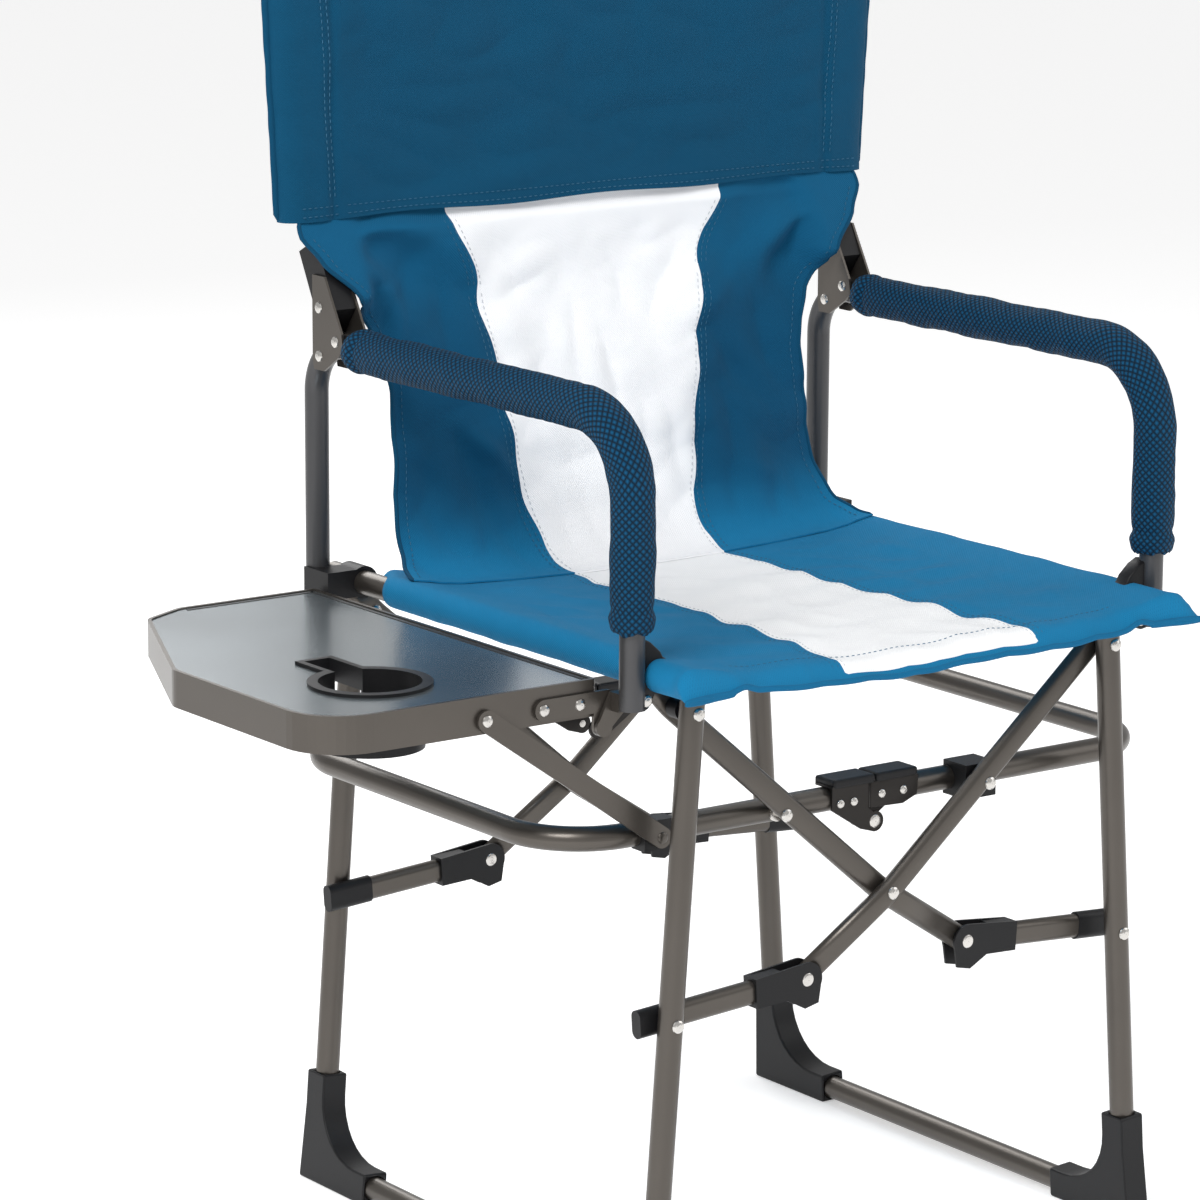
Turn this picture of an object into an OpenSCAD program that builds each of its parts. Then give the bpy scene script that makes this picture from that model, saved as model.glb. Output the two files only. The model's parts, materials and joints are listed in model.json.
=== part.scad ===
// Folding camp chair with a side table.
// X runs across the chair (+X is the side without the table), Y runs from the front to the back, Z is up.
// The chair is drawn round its own middle plane and then moved, so that the origin ends up on the floor
// under the middle of the bounding box.

/* [Frame tubes] */
// Outside diameter of the leg, arm, seat rail and back tubes
tube_d = 19; // [18:0.5:19]
// Outside diameter of the folding loop under the seat
loop_d = 19; // [18:0.5:19]
// Wall of every steel tube
tube_wall = 1.2; // [1:0.1:1.6]
// Height of the flat-oval cross bars and links
bar_h = 19; // [16:0.5:19]
// Depth of the flat-oval cross bars and links
bar_d = 11; // [9:0.5:11]

/* [Chair] */
// Distance between the front and the rear leg tubes
leg_spacing = 450; // [440:1:460]
// Height of the seat rail axis above the floor
rail_z = 506; // [500:1:512]
// Height of the armrest tube axis above the floor
arm_z = 696; // [685:1:710]
// Top of the back posts above the floor
back_top = 972; // [940:1:1000]
// Outside diameter of the foam arm pad
pad_d = 34; // [30:1:36]

/* [Side table] */
// Width of the table across the chair
table_w = 238; // [220:1:250]
// Length of the table from front to back
table_l = 378; // [370:1:380]
// Height of the table's rim
rim_h = 28; // [24:1:28]
// Depth of the cup holder below the table's surface
cup_depth = 46; // [30:1:55]

/* [Hidden] */
$fn = 48;
gap = 0.3;
pin_r = 3;
pin_play = 0.05;
head_r = 5.2;
head_h = 2.4;
tube_r = tube_d / 2;
loop_r = loop_d / 2;

// Planes of the front stack, as distances from the middle plane; the rear stack mirrors them.
leg_y = leg_spacing / 2;
outer_y = leg_y - tube_r - 2 * gap - bar_d / 2;
inner_y = outer_y - bar_d - 2 * gap;
cheek_t = 2;
loop_y = inner_y - bar_d / 2 - gap - cheek_t - gap - loop_r;

// Pivots in the plane across the chair, as [x, z] on the right-hand side.
rail_x = 228;
rail = [rail_x, rail_z];
leg_top = [201, rail_z - 31];
leg_mid = [218, rail_z - 265];
cross = [0, rail_z - 202];
bar_foot = [83, rail_z - 256];
loop_pivot = [94.2, rail_z - 129.5];
loop_hinge = [0, loop_pivot[1] - 21];
leg_splay = atan2(leg_mid[0] - leg_top[0], leg_top[1] - leg_mid[1]);

// Leg frames
foot_rail_z = 12;
leg_over = 12;
leg_bend = 60;
leg_drop = (leg_top[1] - foot_rail_z) / cos(leg_splay);
foot_w = 22.6;
foot_h = 78;

// Arm frames
arm_x = 250;
arm_front_y = -218;
arm_rear_y = 201;
arm_foot_z = rail_z - 24;
arm_front_bend = 62;
arm_rear_bend = 40;
pad_rear_y = 143;
pad_end_z = rail_z + 34;

// Back posts
back_pivot = [179, arm_z + 30];
back_lean = 27.5;
back_shift = 4.5;
knuckle_h = 50;
plate_in = tube_r + gap;
plate_t = 2;
elbow_b = 52;
post_splay = 5;

// Seat rails
rail_front_y = -262;
rail_rear_y = 212;

// Folding loop
loop_x = 288;
loop_bend = 60;
hinge_l = 42;
lobe_r = 8;

// Side table
table_in_x = arm_x + tube_r + 5.5;
table_front_y = -194.6;
table_top_z = rail_z - 3;
rim_t = 3;
table_pivot = [arm_x + 12, rail_z - 39];
strut_top = [363, rail_z - 21];
strut_foot = [206, rail_z - 131];
bracket_end = [313, rail_z - 20];
strap_rivets = [bracket_end, bracket_end - [32, 0]];
strap_t = 3;
strap_r = 8;
ear_r = 7;
cup = [407, -112];
cup_r = 46;
cup_in = 38;
slot_w = 22;
slot_end = -33;

// Fabric
cloth_t = 4;
seat_front_y = -268;
seat_rear_y = 150;
back_w = 412;
back_top_w = 496;

// Middle of the bounding box, which becomes the origin
box_min_x = -(table_in_x + table_w);
box_max_x = loop_x + loop_r;
foot_out = 17;
box_min_y = seat_front_y;
box_max_y = leg_y + foot_out;
centre = [(box_min_x + box_max_x) / 2, (box_min_y + box_max_y) / 2];

metal = [0.42, 0.40, 0.37];
dark_metal = [0.30, 0.30, 0.31];
plastic = [0.06, 0.06, 0.06];
steel = [0.80, 0.80, 0.80];
cloth = [0.09, 0.38, 0.55];
sleeve = [0.05, 0.22, 0.38];

LEFT = -1;
RIGHT = 1;
FRONT = -1;
REAR = 1;

// ---------------------------------------------------------------- profiles and tubes

// Section of a round tube
module ring(d) {
    difference() {
        circle(d = d);
        circle(d = d - 2 * tube_wall);
    }
}

// Flat-oval outline: h across the bar in its plane, d through it
module oval(h, d) {
    square([h - d, d], center = true);
    for (side = [-1, 1])
        translate([side * (h - d) / 2, 0]) circle(d = d);
}

// Section of a flat-oval tube
module oval_ring() {
    difference() {
        oval(bar_h, bar_d);
        oval(bar_h - 2 * tube_wall, bar_d - 2 * tube_wall);
    }
}

function unit(v) = v / norm(v);
function heading(p, q) = atan2(q[1] - p[1], q[0] - p[0]);
function wrap(a) = a > 180 ? a - 360 : a < -180 ? a + 360 : a;
function turn_at(p, i) = wrap(heading(p[i], p[i + 1]) - heading(p[i - 1], p[i]));
function is_bend(p, i) = i > 0 && i < len(p) - 1;
function trim_at(p, r, i) = is_bend(p, i) ? r[i] * tan(abs(turn_at(p, i)) / 2) : 0;

// A tube along a bent line in the XY plane: straight runs and true arcs of its section (the children)
module bent_tube(points, bends) {
    for (i = [0 : len(points) - 2]) {
        run = unit(points[i + 1] - points[i]);
        start = points[i] + run * trim_at(points, bends, i);
        length = norm(points[i + 1] - points[i]) - trim_at(points, bends, i) - trim_at(points, bends, i + 1);
        translate([start[0], start[1], 0])
            rotate([0, 0, heading(points[i], points[i + 1])])
                rotate([90, 0, 90])
                    linear_extrude(height = length) children();
    }
    for (i = [1 : 1 : len(points) - 2]) {
        turn = turn_at(points, i);
        run = unit(points[i] - points[i - 1]);
        start = points[i] - run * trim_at(points, bends, i);
        side = turn > 0 ? 1 : -1;
        middle = start + side * bends[i] * [-run[1], run[0]];
        first = heading(middle, start) + min(turn, 0);
        translate([middle[0], middle[1], 0])
            rotate([0, 0, first])
                rotate_extrude(angle = abs(turn))
                    translate([bends[i], 0]) children();
    }
}

// Stand the XY plane up across the chair at depth y, or along it at x
module across(y) {
    translate([0, y, 0]) rotate([90, 0, 0]) children();
}
module along(x) {
    translate([x, 0, 0]) rotate([90, 0, 90]) children();
}

// A round pin or bore along Y through [x, z], from y0 to y1
module pin_y(at, y0, y1, r) {
    translate([at[0], max(y0, y1), at[1]])
        rotate([90, 0, 0])
            cylinder(h = abs(y1 - y0), r = r);
}

// A round pin or bore along X through [y, z], from x0 to x1
module pin_x(at, x0, x1, r) {
    translate([min(x0, x1), at[0], at[1]])
        rotate([0, 90, 0])
            cylinder(h = abs(x1 - x0), r = r);
}

// Outline of a domed head that stands on the end of a shank
function dome(r, h, z, way) = [for (a = [0 : 22.5 : 90]) [r * cos(a), z + way * h * sin(a)]];

// A rivet along Y with a domed head at both ends of its grip; y0 is its front face
module rivet_y(at, y0, y1, r = pin_r, head = head_r, rise = head_h) {
    low = min(y0, y1);
    high = max(y0, y1);
    translate([at[0], high, at[1]])
        rotate([90, 0, 0])
            rotate_extrude()
                polygon(concat([[0, 0 - rise]], reverse(dome(head, rise, 0, -1)), [[r, 0]],
                               [[r, high - low]], dome(head, rise, high - low, 1)));
}

// The same rivet along X
module rivet_x(at, x0, x1, r, head, rise) {
    translate([min(x0, x1), at[0], at[1]])
        rotate([0, 90, 0])
            rotate_extrude()
                polygon(concat([[0, 0 - rise]], reverse(dome(head, rise, 0, -1)), [[r, 0]],
                               [[r, abs(x1 - x0)]], dome(head, rise, abs(x1 - x0), 1)));
}
function reverse(list) = [for (i = [len(list) - 2 : -1 : 0]) list[i]];

// A point of the right-hand side, moved to the side that is asked for
function on(side, p) = [side * p[0], p[1]];

// A strap with two round ends in the plane across the chair
module strap(p, q, r) {
    translate(p) circle(r = r);
    translate(q) circle(r = r);
    translate(p)
        rotate(heading(p, q))
            translate([0, -r])
                square([norm(q - p), 2 * r]);
}

// ---------------------------------------------------------------- leg frames

// Place a leg frame's own plane, which leans out by the splay angle about the leg tops
module leg_plane(side) {
    translate([side * leg_top[0], 0, leg_top[1]])
        rotate([0, -side * leg_splay, 0])
            children();
}

leg_line = [
    [-leg_y, leg_over], [-leg_y, -leg_drop], [leg_y, -leg_drop], [leg_y, leg_over]
];

module leg_frame(side) {
    color(metal)
        difference() {
            leg_plane(side)
                along(0)
                    bent_tube(leg_line, [0, leg_bend, leg_bend, 0]) ring(tube_d);
            for (end = [FRONT, REAR], at = [leg_top, leg_mid])
                pin_y(on(side, at), end * (leg_y - tube_d), end * (leg_y + tube_d), pin_r);
        }
}

// Outline of a corner shoe: u inwards from the leg axis, v up from the bottom rail axis
shoe_in = tube_r + 3;
shoe_arc = leg_bend - shoe_in;
shoe_outline = concat(
    [[-shoe_in, foot_h], [-shoe_in, leg_bend * 0.8], [-foot_out, -foot_rail_z - 2]],
    [[foot_h, -foot_rail_z - 2], [foot_h, shoe_in]],
    [for (a = [270 : -11.25 : 180]) [leg_bend + shoe_arc * cos(a), leg_bend + shoe_arc * sin(a)]],
    [[shoe_in, foot_h]]
);
foot_line = [[0, foot_h + 1], [0, 0], [foot_h + 1, 0]];

module foot(side, end) {
    color(plastic)
        difference() {
            leg_plane(side)
                translate([0, end * leg_y, -leg_drop])
                    mirror([0, end > 0 ? 1 : 0, 0])
                        along(0)
                            difference() {
                                translate([0, 0, -foot_w / 2])
                                    linear_extrude(height = foot_w) polygon(shoe_outline);
                                bent_tube(foot_line, [0, leg_bend, 0]) circle(d = tube_d);
                            }
            translate([-2 * arm_x, -2 * leg_y, -leg_spacing])
                cube([4 * arm_x, 4 * leg_y, leg_spacing]);
        }
}

// Pivot rivets at the leg tops, which reach through to the bars, and short ones at the links
module leg_rivets(side) {
    bar_y = side == LEFT ? inner_y : outer_y;
    color(steel)
        for (end = [FRONT, REAR]) {
            rivet_y(on(side, leg_top), end * (leg_y + tube_r), end * (bar_y - bar_d / 2));
            translate([0, end > 0 ? 2 * leg_y : 0, 0])
                mirror([0, end > 0 ? 1 : 0, 0])
                    short_rivet(on(side, leg_mid), end > 0 ? leg_y - tube_r : -leg_y - tube_r, tube_d);
        }
}

// A rivet with one head, at y, whose shank ends flush after its grip
module short_rivet(at, y, grip) {
    translate([at[0], y + grip, at[1]])
        rotate([90, 0, 0])
            rotate_extrude()
                polygon(concat([[0, 0]], [[pin_r, 0]], [[pin_r, grip]], dome(head_r, head_h, grip, 1)));
}

// Bushes that fill the space between the left leg tops and the inner bars
module leg_spacers_left() {
    color(plastic)
        for (end = [FRONT, REAR])
            difference() {
                pin_y(on(LEFT, leg_top), end * (leg_y - tube_r), end * (inner_y + bar_d / 2 + gap), 8);
                pin_y(on(LEFT, leg_top), end * (leg_y + 1), end * inner_y, pin_r);
            }
}

// ---------------------------------------------------------------- seat rails and cross bars

module seat_rail(side) {
    color(metal)
        translate([side * rail_x, rail_front_y, rail_z])
            rotate([-90, 0, 0])
                linear_extrude(height = rail_rear_y - rail_front_y) ring(tube_d);
}

// Outline of a cross bar's bent centre line, half to each side of it, with mitred bends
bar_over = 10;
weld_gap = 4;
bar_step = 2.5;
bar_tip = bar_foot - unit(cross - bar_foot) * bar_over;
bar_line = [rail + unit(leg_top - rail) * weld_gap, leg_top, cross, [-bar_tip[0], bar_tip[1]]];
function left_of(p, q) = let (run = unit(q - p)) [-run[1], run[0]];
function bar_normal(i) = let (
        before = left_of(bar_line[max(i - 1, 0)], bar_line[max(i, 1)]),
        after = left_of(bar_line[min(i, 2)], bar_line[min(i + 1, 3)])
    ) (before + after) / (1 + before * after);
function strip(half) = concat(
    [for (i = [0 : 3]) bar_line[i] + half * bar_normal(i)],
    [for (i = [3 : -1 : 0]) bar_line[i] - half * bar_normal(i)]
);

// One flat-oval cross bar: welded under its seat rail, past the leg top and the cross, to its foot
module cross_bar(side, end) {
    y = end * (side == LEFT ? inner_y : outer_y);
    fixed = side == LEFT ? 0 : pin_play;
    color(metal)
        difference() {
            mirror([side > 0 ? 0 : 1, 0, 0]) {
                across(y + bar_d / 2 - bar_step)
                    linear_extrude(height = bar_d - 2 * bar_step) polygon(strip(bar_h / 2));
                across(y + bar_d / 2)
                    linear_extrude(height = bar_d) polygon(strip(bar_h / 2 - bar_step));
            }
            pin_y(on(side, rail), y - bar_d, y + bar_d, tube_r);
            pin_y(on(side, leg_top), y - bar_d, y + bar_d, pin_r + pin_play);
            pin_y(on(side, loop_pivot), y - bar_d, y + bar_d, pin_r);
            pin_y(cross, y - bar_d, y + bar_d, pin_r + fixed);
            pin_y(on(-side, bar_foot), y - bar_d, y + bar_d, pin_r + pin_play);
        }
}

// Rivets of the left unit: the cross pivots, and the pivots of the left loop half
module cross_rivets_left() {
    color(steel)
        for (end = [FRONT, REAR]) {
            rivet_y(cross, end * (outer_y + bar_d / 2 + gap / 3), end * (inner_y - bar_d / 2));
            rivet_y(on(LEFT, loop_pivot), end * (inner_y + bar_d / 2), end * (loop_y - loop_r - gap / 3));
        }
}

// Rivets of the right unit over the loop's spacer blocks
module cross_rivets_right() {
    color(steel)
        for (end = [FRONT, REAR])
            translate([0, end > 0 ? 2 * outer_y : 0, 0])
                mirror([0, end > 0 ? 1 : 0, 0])
                    short_rivet(on(RIGHT, loop_pivot), (end > 0 ? 1 : -1) * outer_y - bar_d / 2, bar_d);
}

// ---------------------------------------------------------------- links

// Links run from a bar's foot out to the leg's middle. Their own X axis runs outwards along the link.
function link_y(side) = side == LEFT ? outer_y : inner_y;
link_length = norm(leg_mid - bar_foot);
link_start = 31;
cap_l = 40;
cap_in = link_length - cap_l / 2;
clevis_r = 13.5;

module link_plane(side, end) {
    translate([side * bar_foot[0], end * link_y(side), bar_foot[1]])
        mirror([side < 0 ? 1 : 0, 0, 0])
            rotate([90, 0, 0])
                rotate([0, 0, heading(bar_foot, leg_mid)])
                    children();
}

module link(side, end) {
    color(metal)
        link_plane(side, end)
            translate([link_start, 0, 0])
                rotate([90, 0, 90])
                    linear_extrude(height = cap_in - link_start) oval_ring();
}

// Black clevises: a sleeve over the link and two cheeks beside the foot of the bar
module link_clevises(side) {
    inside = bar_d / 2 + gap;
    sleeve_l = 18;
    color(plastic)
        for (end = [FRONT, REAR])
            link_plane(side, end)
                difference() {
                    union() {
                        for (face = [-inside - cheek_t, inside])
                            translate([0, 0, face])
                                linear_extrude(height = cheek_t)
                                    difference() {
                                        union() {
                                            circle(r = clevis_r);
                                            polygon([[0, clevis_r], [link_start + sleeve_l, 11.5],
                                                     [link_start + sleeve_l, -11.5], [20, -12], [4, -22],
                                                     [-9, -20], [-clevis_r, 0]]);
                                        }
                                        circle(r = pin_r);
                                    }
                        translate([link_start - 8, -11.5, -inside - cheek_t])
                            cube([sleeve_l + 8, 23, 2 * (inside + cheek_t)]);
                    }
                    translate([link_start, 0, 0])
                        rotate([90, 0, 90])
                            linear_extrude(height = sleeve_l + 1) oval(bar_h, bar_d);
                }
}

// Black sleeves that close the links' outer ends behind the legs
module link_caps(side) {
    color(plastic)
        for (end = [FRONT, REAR])
            link_plane(side, end)
                translate([cap_in, 0, 0])
                    rotate([90, 0, 90])
                        linear_extrude(height = cap_l) oval(bar_h + 3, bar_d);
}

module link_rivets(side) {
    grip = bar_d / 2 + gap + cheek_t;
    color(steel)
        for (end = [FRONT, REAR])
            rivet_y(on(side, bar_foot), end * link_y(side) - grip, end * link_y(side) + grip,
                    pin_r, head_r, 0.9);
}

// ---------------------------------------------------------------- folding loop

loop_z = loop_pivot[1];
loop_tip = 24;
web_tip = 7;

module loop_half(side) {
    color(metal)
        difference() {
            translate([0, 0, loop_z])
                bent_tube([[side * loop_tip, -loop_y], [side * loop_x, -loop_y],
                           [side * loop_x, loop_y], [side * loop_tip, loop_y]],
                          [0, loop_bend, loop_bend, 0])
                    ring(loop_d);
            for (end = [FRONT, REAR])
                pin_y(on(side, loop_pivot), end * (loop_y - loop_d), end * (loop_y + loop_d),
                      side == LEFT ? pin_r + pin_play : pin_r);
        }
}

// Black hinge leaves at the ends of a loop half: a web on top of the tube and one side plate with
// the lobe of the toggle hinge. The left leaves lie outside the tube, the right ones inside it.
module loop_hinges(side) {
    out = side == LEFT ? 1 : -1;
    color(plastic)
        for (end = [FRONT, REAR]) {
            face = out > 0 ? loop_r : -loop_r - cheek_t;
            near = end > 0 ? loop_y + face : -loop_y - face - cheek_t;
            difference() {
                union() {
                    across(near + cheek_t)
                        linear_extrude(height = cheek_t) {
                            translate(loop_hinge) circle(r = lobe_r);
                            polygon([loop_hinge + [-side * lobe_r, 0], [side * web_tip, loop_z - loop_r],
                                     [side * web_tip, loop_z + loop_r + cheek_t],
                                     [side * hinge_l, loop_z + loop_r + cheek_t],
                                     [side * hinge_l, loop_z - 7], loop_hinge + [side * 14, -4],
                                     loop_hinge + [side * 4, -lobe_r + 1]]);
                        }
                    translate([side > 0 ? web_tip : -hinge_l, end * loop_y - loop_r, loop_z + loop_r])
                        cube([hinge_l - web_tip, loop_d, cheek_t]);
                }
                pin_y(loop_hinge, end * loop_y - loop_d, end * loop_y + loop_d, pin_r);
            }
        }
}

// Toggle pins in the left leaves, and the washers between the left half and its bars
module loop_rivets() {
    color(steel)
        for (end = [FRONT, REAR]) {
            translate([0, end > 0 ? 2 * loop_y : 0, 0])
                mirror([0, end > 0 ? 1 : 0, 0])
                    leaf_rivet(end > 0 ? loop_y - loop_r - cheek_t : -loop_y - loop_r - cheek_t);
            difference() {
                pin_y(on(LEFT, loop_pivot), end * (loop_y + loop_r - 0.6),
                      end * (inner_y - bar_d / 2 - gap), 7);
                pin_y(on(LEFT, loop_pivot), end * (loop_y - 1), end * inner_y, pin_r + pin_play);
                translate([-loop_x, end * loop_y, loop_z])
                    rotate([0, 90, 0]) cylinder(h = loop_x, r = loop_r);
            }
        }
}

// A short rivet through one leaf, with a low head outside
module leaf_rivet(y) {
    translate([loop_hinge[0], y + cheek_t, loop_hinge[1]])
        rotate([90, 0, 0])
            rotate_extrude()
                polygon(concat([[0, 0]], [[pin_r, 0]], [[pin_r, cheek_t]], dome(head_r, 0.9, cheek_t, 1)));
}

// Black blocks on the right loop half that fill the space up to the outer bars
module loop_spacers() {
    half_l = 15;
    half_h = 13.5;
    front = outer_y - bar_d / 2 - gap;
    back = loop_y - 4;
    color(plastic)
        for (end = [FRONT, REAR])
            difference() {
                translate([loop_pivot[0] - half_l, end > 0 ? back : -front, loop_z - half_h])
                    cube([2 * half_l, front - back, 2 * half_h]);
                translate([0, end * loop_y, loop_z])
                    rotate([0, 90, 0]) cylinder(h = loop_x, r = loop_r);
            }
}

// Black saddle on the left loop half behind the foot of the table strut
module strut_saddle() {
    half_l = 14;
    front = table_front_y + gap;
    color(plastic)
        difference() {
            translate([-strut_foot[0] - half_l, front, loop_z - loop_r - 2])
                cube([2 * half_l, -loop_y + 2 - front, loop_d + 4]);
            translate([-loop_x, -loop_y, loop_z])
                rotate([0, 90, 0]) cylinder(h = loop_x, r = loop_r);
        }
}

// ---------------------------------------------------------------- arm frames

arm_line = [
    [arm_front_y, arm_foot_z], [arm_front_y, arm_z], [arm_rear_y, arm_z], [arm_rear_y, arm_foot_z]
];
plate_rivet_r = 2.5;
plate_rivets = [[156, arm_z + 6], [179, arm_z - 8]];

module arm_frame(side) {
    color(dark_metal)
        difference() {
            along(side * arm_x)
                bent_tube(arm_line, [0, arm_front_bend, arm_rear_bend, 0]) ring(tube_d);
            for (at = plate_rivets)
                pin_x(at, side * arm_x - tube_d, side * arm_x + tube_d, plate_rivet_r);
        }
}

// Foam sleeve over the armrest and the top of the front post
module arm_pad(side) {
    color(sleeve)
        along(side * arm_x)
            bent_tube([[pad_rear_y, arm_z], [arm_front_y, arm_z], [arm_front_y, pad_end_z]],
                      [0, arm_front_bend, 0])
                difference() {
                    circle(d = pad_d);
                    circle(d = tube_d);
                }
}

bush_r = 13;
bush_play = 0.06;

// Black bracket on the front post that carries the seat rail
module front_bracket(side) {
    front = arm_front_y - tube_r - 1.5;
    back = -leg_y + tube_r + gap / 3;
    color(plastic)
        difference() {
            union() {
                across(back)
                    linear_extrude(height = back - front) {
                        translate(on(side, rail)) circle(r = bush_r);
                        translate([side > 0 ? rail_x : -arm_x, rail_z - 11])
                            square([arm_x - rail_x, 22]);
                        translate([side * arm_x, rail_z + 1]) square([24, 52], center = true);
                    }
                translate([side * arm_x - (side > 0 ? 9 : 12), back - 0.1, rail_z - 11])
                    cube([21, arm_front_y + tube_r + 2 - back, 38]);
            }
            pin_y(on(side, rail), front - 1, back + 1, tube_r + bush_play);
            translate([side * arm_x, arm_front_y, rail_z - 60])
                cylinder(h = 120, r = tube_r);
        }
}

// Black socket on the rear post that carries the back of the seat rail
module rear_socket(side) {
    front = 168;
    back = inner_y - bar_d / 2 - 2 * gap;
    color(plastic)
        difference() {
            union() {
                across(back)
                    linear_extrude(height = back - front) {
                        translate(on(side, rail)) circle(r = bush_r);
                        translate([side > 0 ? rail_x : -arm_x - 12, rail_z - 11])
                            square([arm_x + 12 - rail_x, 22]);
                    }
                translate([side * arm_x - (side > 0 ? 9 : 12), back - 4, rail_z - 11])
                    cube([21, 15, 22]);
            }
            pin_y(on(side, rail), front - 1, back + 1, tube_r + bush_play);
            translate([side * arm_x, arm_rear_y, rail_z - 60])
                cylinder(h = 120, r = tube_r);
        }
}

// Steel side plates that hold the back post, as an outline along the chair
plate_outline = [
    [188, arm_z + 55], [171, arm_z + 55], [147, arm_z + 13], [145, arm_z + 1],
    [152, arm_z - 6], [172, arm_z - 19], [186, arm_z - 19], [188, arm_z - 11]
];

module back_hinge(side) {
    color(metal)
        difference() {
            for (face = [-plate_in - plate_t, plate_in])
                along(side * arm_x + face)
                    linear_extrude(height = plate_t) polygon(plate_outline);
            for (at = concat(plate_rivets, [back_pivot]))
                pin_x(at, side * arm_x - tube_d, side * arm_x + tube_d, plate_rivet_r);
        }
}

module hinge_rivets(side) {
    grip = plate_in + plate_t;
    color(steel)
        for (at = concat(plate_rivets, [back_pivot]))
            rivet_x(at, side * arm_x - grip, side * arm_x + grip, plate_rivet_r, 4.6, 2);
}

// ---------------------------------------------------------------- back posts

// Solid foot of the back post between the plates, as an outline round its pivot
lean_dir = [sin(back_lean), cos(back_lean)];
lean_front = [-cos(back_lean), sin(back_lean)];
knuckle_front = 18;
knuckle_rear = 9;
knuckle_outline = [
    back_pivot + [12, -26.5],
    back_pivot - knuckle_rear * lean_front,
    back_pivot - knuckle_rear * lean_front + knuckle_h * lean_dir,
    back_pivot + knuckle_front * lean_front + knuckle_h * lean_dir,
    back_pivot + knuckle_front * lean_front - 9 * lean_dir,
    back_pivot + [-6, -19],
    back_pivot + [4, -25]
];

function post_start() = back_pivot + back_shift * lean_front + (knuckle_h - 20) * lean_dir;
function post_elbow() = back_pivot + back_shift * lean_front + (knuckle_h + 4) * lean_dir;

module back_knuckle(side) {
    color(plastic)
        difference() {
            along(side * arm_x - tube_r)
                linear_extrude(height = tube_d) polygon(knuckle_outline);
            pin_x(back_pivot, side * arm_x - tube_d, side * arm_x + tube_d, plate_rivet_r + pin_play);
            post_run(side, tube_d - 3);
        }
}

// The lower run of the post, along the lean, as a solid rod of diameter d
module post_run(side, d) {
    reach = norm(post_elbow() - post_start());
    translate([side * arm_x, post_start()[0], post_start()[1]])
        rotate([-back_lean, 0, 0])
            cylinder(h = reach + 2.3, d = d);
}

// The upper run of the post, which stands upright and splays outwards a little
module post_rise(side, d) {
    translate([side * arm_x, post_elbow()[0], post_elbow()[1]])
        rotate([0, side * post_splay, 0])
            translate([0, 0, -2.3])
                cylinder(h = (back_top - post_elbow()[1]) / cos(post_splay) + 2.3, d = d);
}

module back_post(side) {
    post_d = tube_d - 3;
    color(plastic)
        difference() {
            union() {
                post_run(side, post_d);
                post_rise(side, post_d);
            }
            post_rise(side, post_d - 2 * tube_wall);
        }
}

// ---------------------------------------------------------------- side table

table_rear_y = table_front_y + table_l;
table_out_x = table_in_x + table_w;

// Plan of the table on the left side: a rectangle whose outer rear corner is cut away
table_plan = [
    [-table_in_x, table_front_y], [-table_in_x, table_rear_y], [-table_in_x - 125, table_rear_y],
    [-table_in_x - 165, table_rear_y - 20], [-table_out_x, table_rear_y - 178], [-table_out_x, table_front_y]
];
table_round = [3, 3, 20, 20, 25, 45];

function cyc(list, i) = list[(i + len(list)) % len(list)];
function corner_turn(p, i) = wrap(heading(p[i], cyc(p, i + 1)) - heading(cyc(p, i - 1), p[i]));
// Points of an outline whose corners are rounded to the radii r
function rounded(p, r) = [
    for (i = [0 : len(p) - 1])
        let (
            turn = corner_turn(p, i),
            run = unit(p[i] - cyc(p, i - 1)),
            side = turn > 0 ? 1 : -1,
            start = p[i] - run * r[i] * tan(abs(turn) / 2),
            middle = start + side * r[i] * [-run[1], run[0]],
            steps = max(2, round(abs(turn) / 9))
        )
        for (k = [0 : steps])
            middle + r[i] * [cos(heading(middle, start) + turn * k / steps),
                             sin(heading(middle, start) + turn * k / steps)]
];
// The same outline with every edge moved inwards by d; the outline runs counter-clockwise seen from below
function edge_normal(p, i) = let (run = unit(cyc(p, i + 1) - p[i])) [run[1], -run[0]];
function inset(p, d) = [
    for (i = [0 : len(p) - 1])
        let (
            a = edge_normal(p, (i + len(p) - 1) % len(p)),
            b = edge_normal(p, i)
        )
        p[i] - d * turn_sign(p) * (a + b) / (1 + a * b)
];
function turn_sign(p) = corner_turn(p, 0) > 0 ? 1 : -1;
function shrink(r, d) = [for (v = r) max(v - d, 0.5)];

module table_area(d) {
    polygon(rounded(inset(table_plan, d), shrink(table_round, d)));
}

module table_rim() {
    ledge_z = table_top_z - 8;
    color(metal)
        difference() {
            union() {
                translate([0, 0, table_top_z - rim_h])
                    linear_extrude(height = rim_h)
                        difference() {
                            table_area(0);
                            table_area(rim_t);
                        }
                translate([0, 0, ledge_z])
                    linear_extrude(height = 3)
                        difference() {
                            table_area(rim_t - 1);
                            table_area(rim_t + 7);
                        }
            }
            table_holes();
        }
}

// Rivet holes through the rim's front and rear walls
module table_holes() {
    for (at = strap_rivets, y = [table_front_y, table_rear_y])
        pin_y(on(LEFT, at), y - rim_t - 1, y + rim_t + 1, plate_rivet_r);
    pin_y(on(LEFT, strut_top), table_front_y - rim_t - 1, table_front_y + rim_t + 1, plate_rivet_r);
}

module table_top() {
    color([0.55, 0.58, 0.60])
        translate([0, 0, table_top_z - 5])
            linear_extrude(height = 4)
                difference() {
                    table_area(rim_t + gap);
                    translate([-cup[0], cup[1]]) circle(r = cup_in + 3);
                    translate([-cup[0] - slot_w / 2 - 1, cup[1]]) square([slot_w + 12, slot_end - cup[1] + 3]);
                }
}

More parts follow.
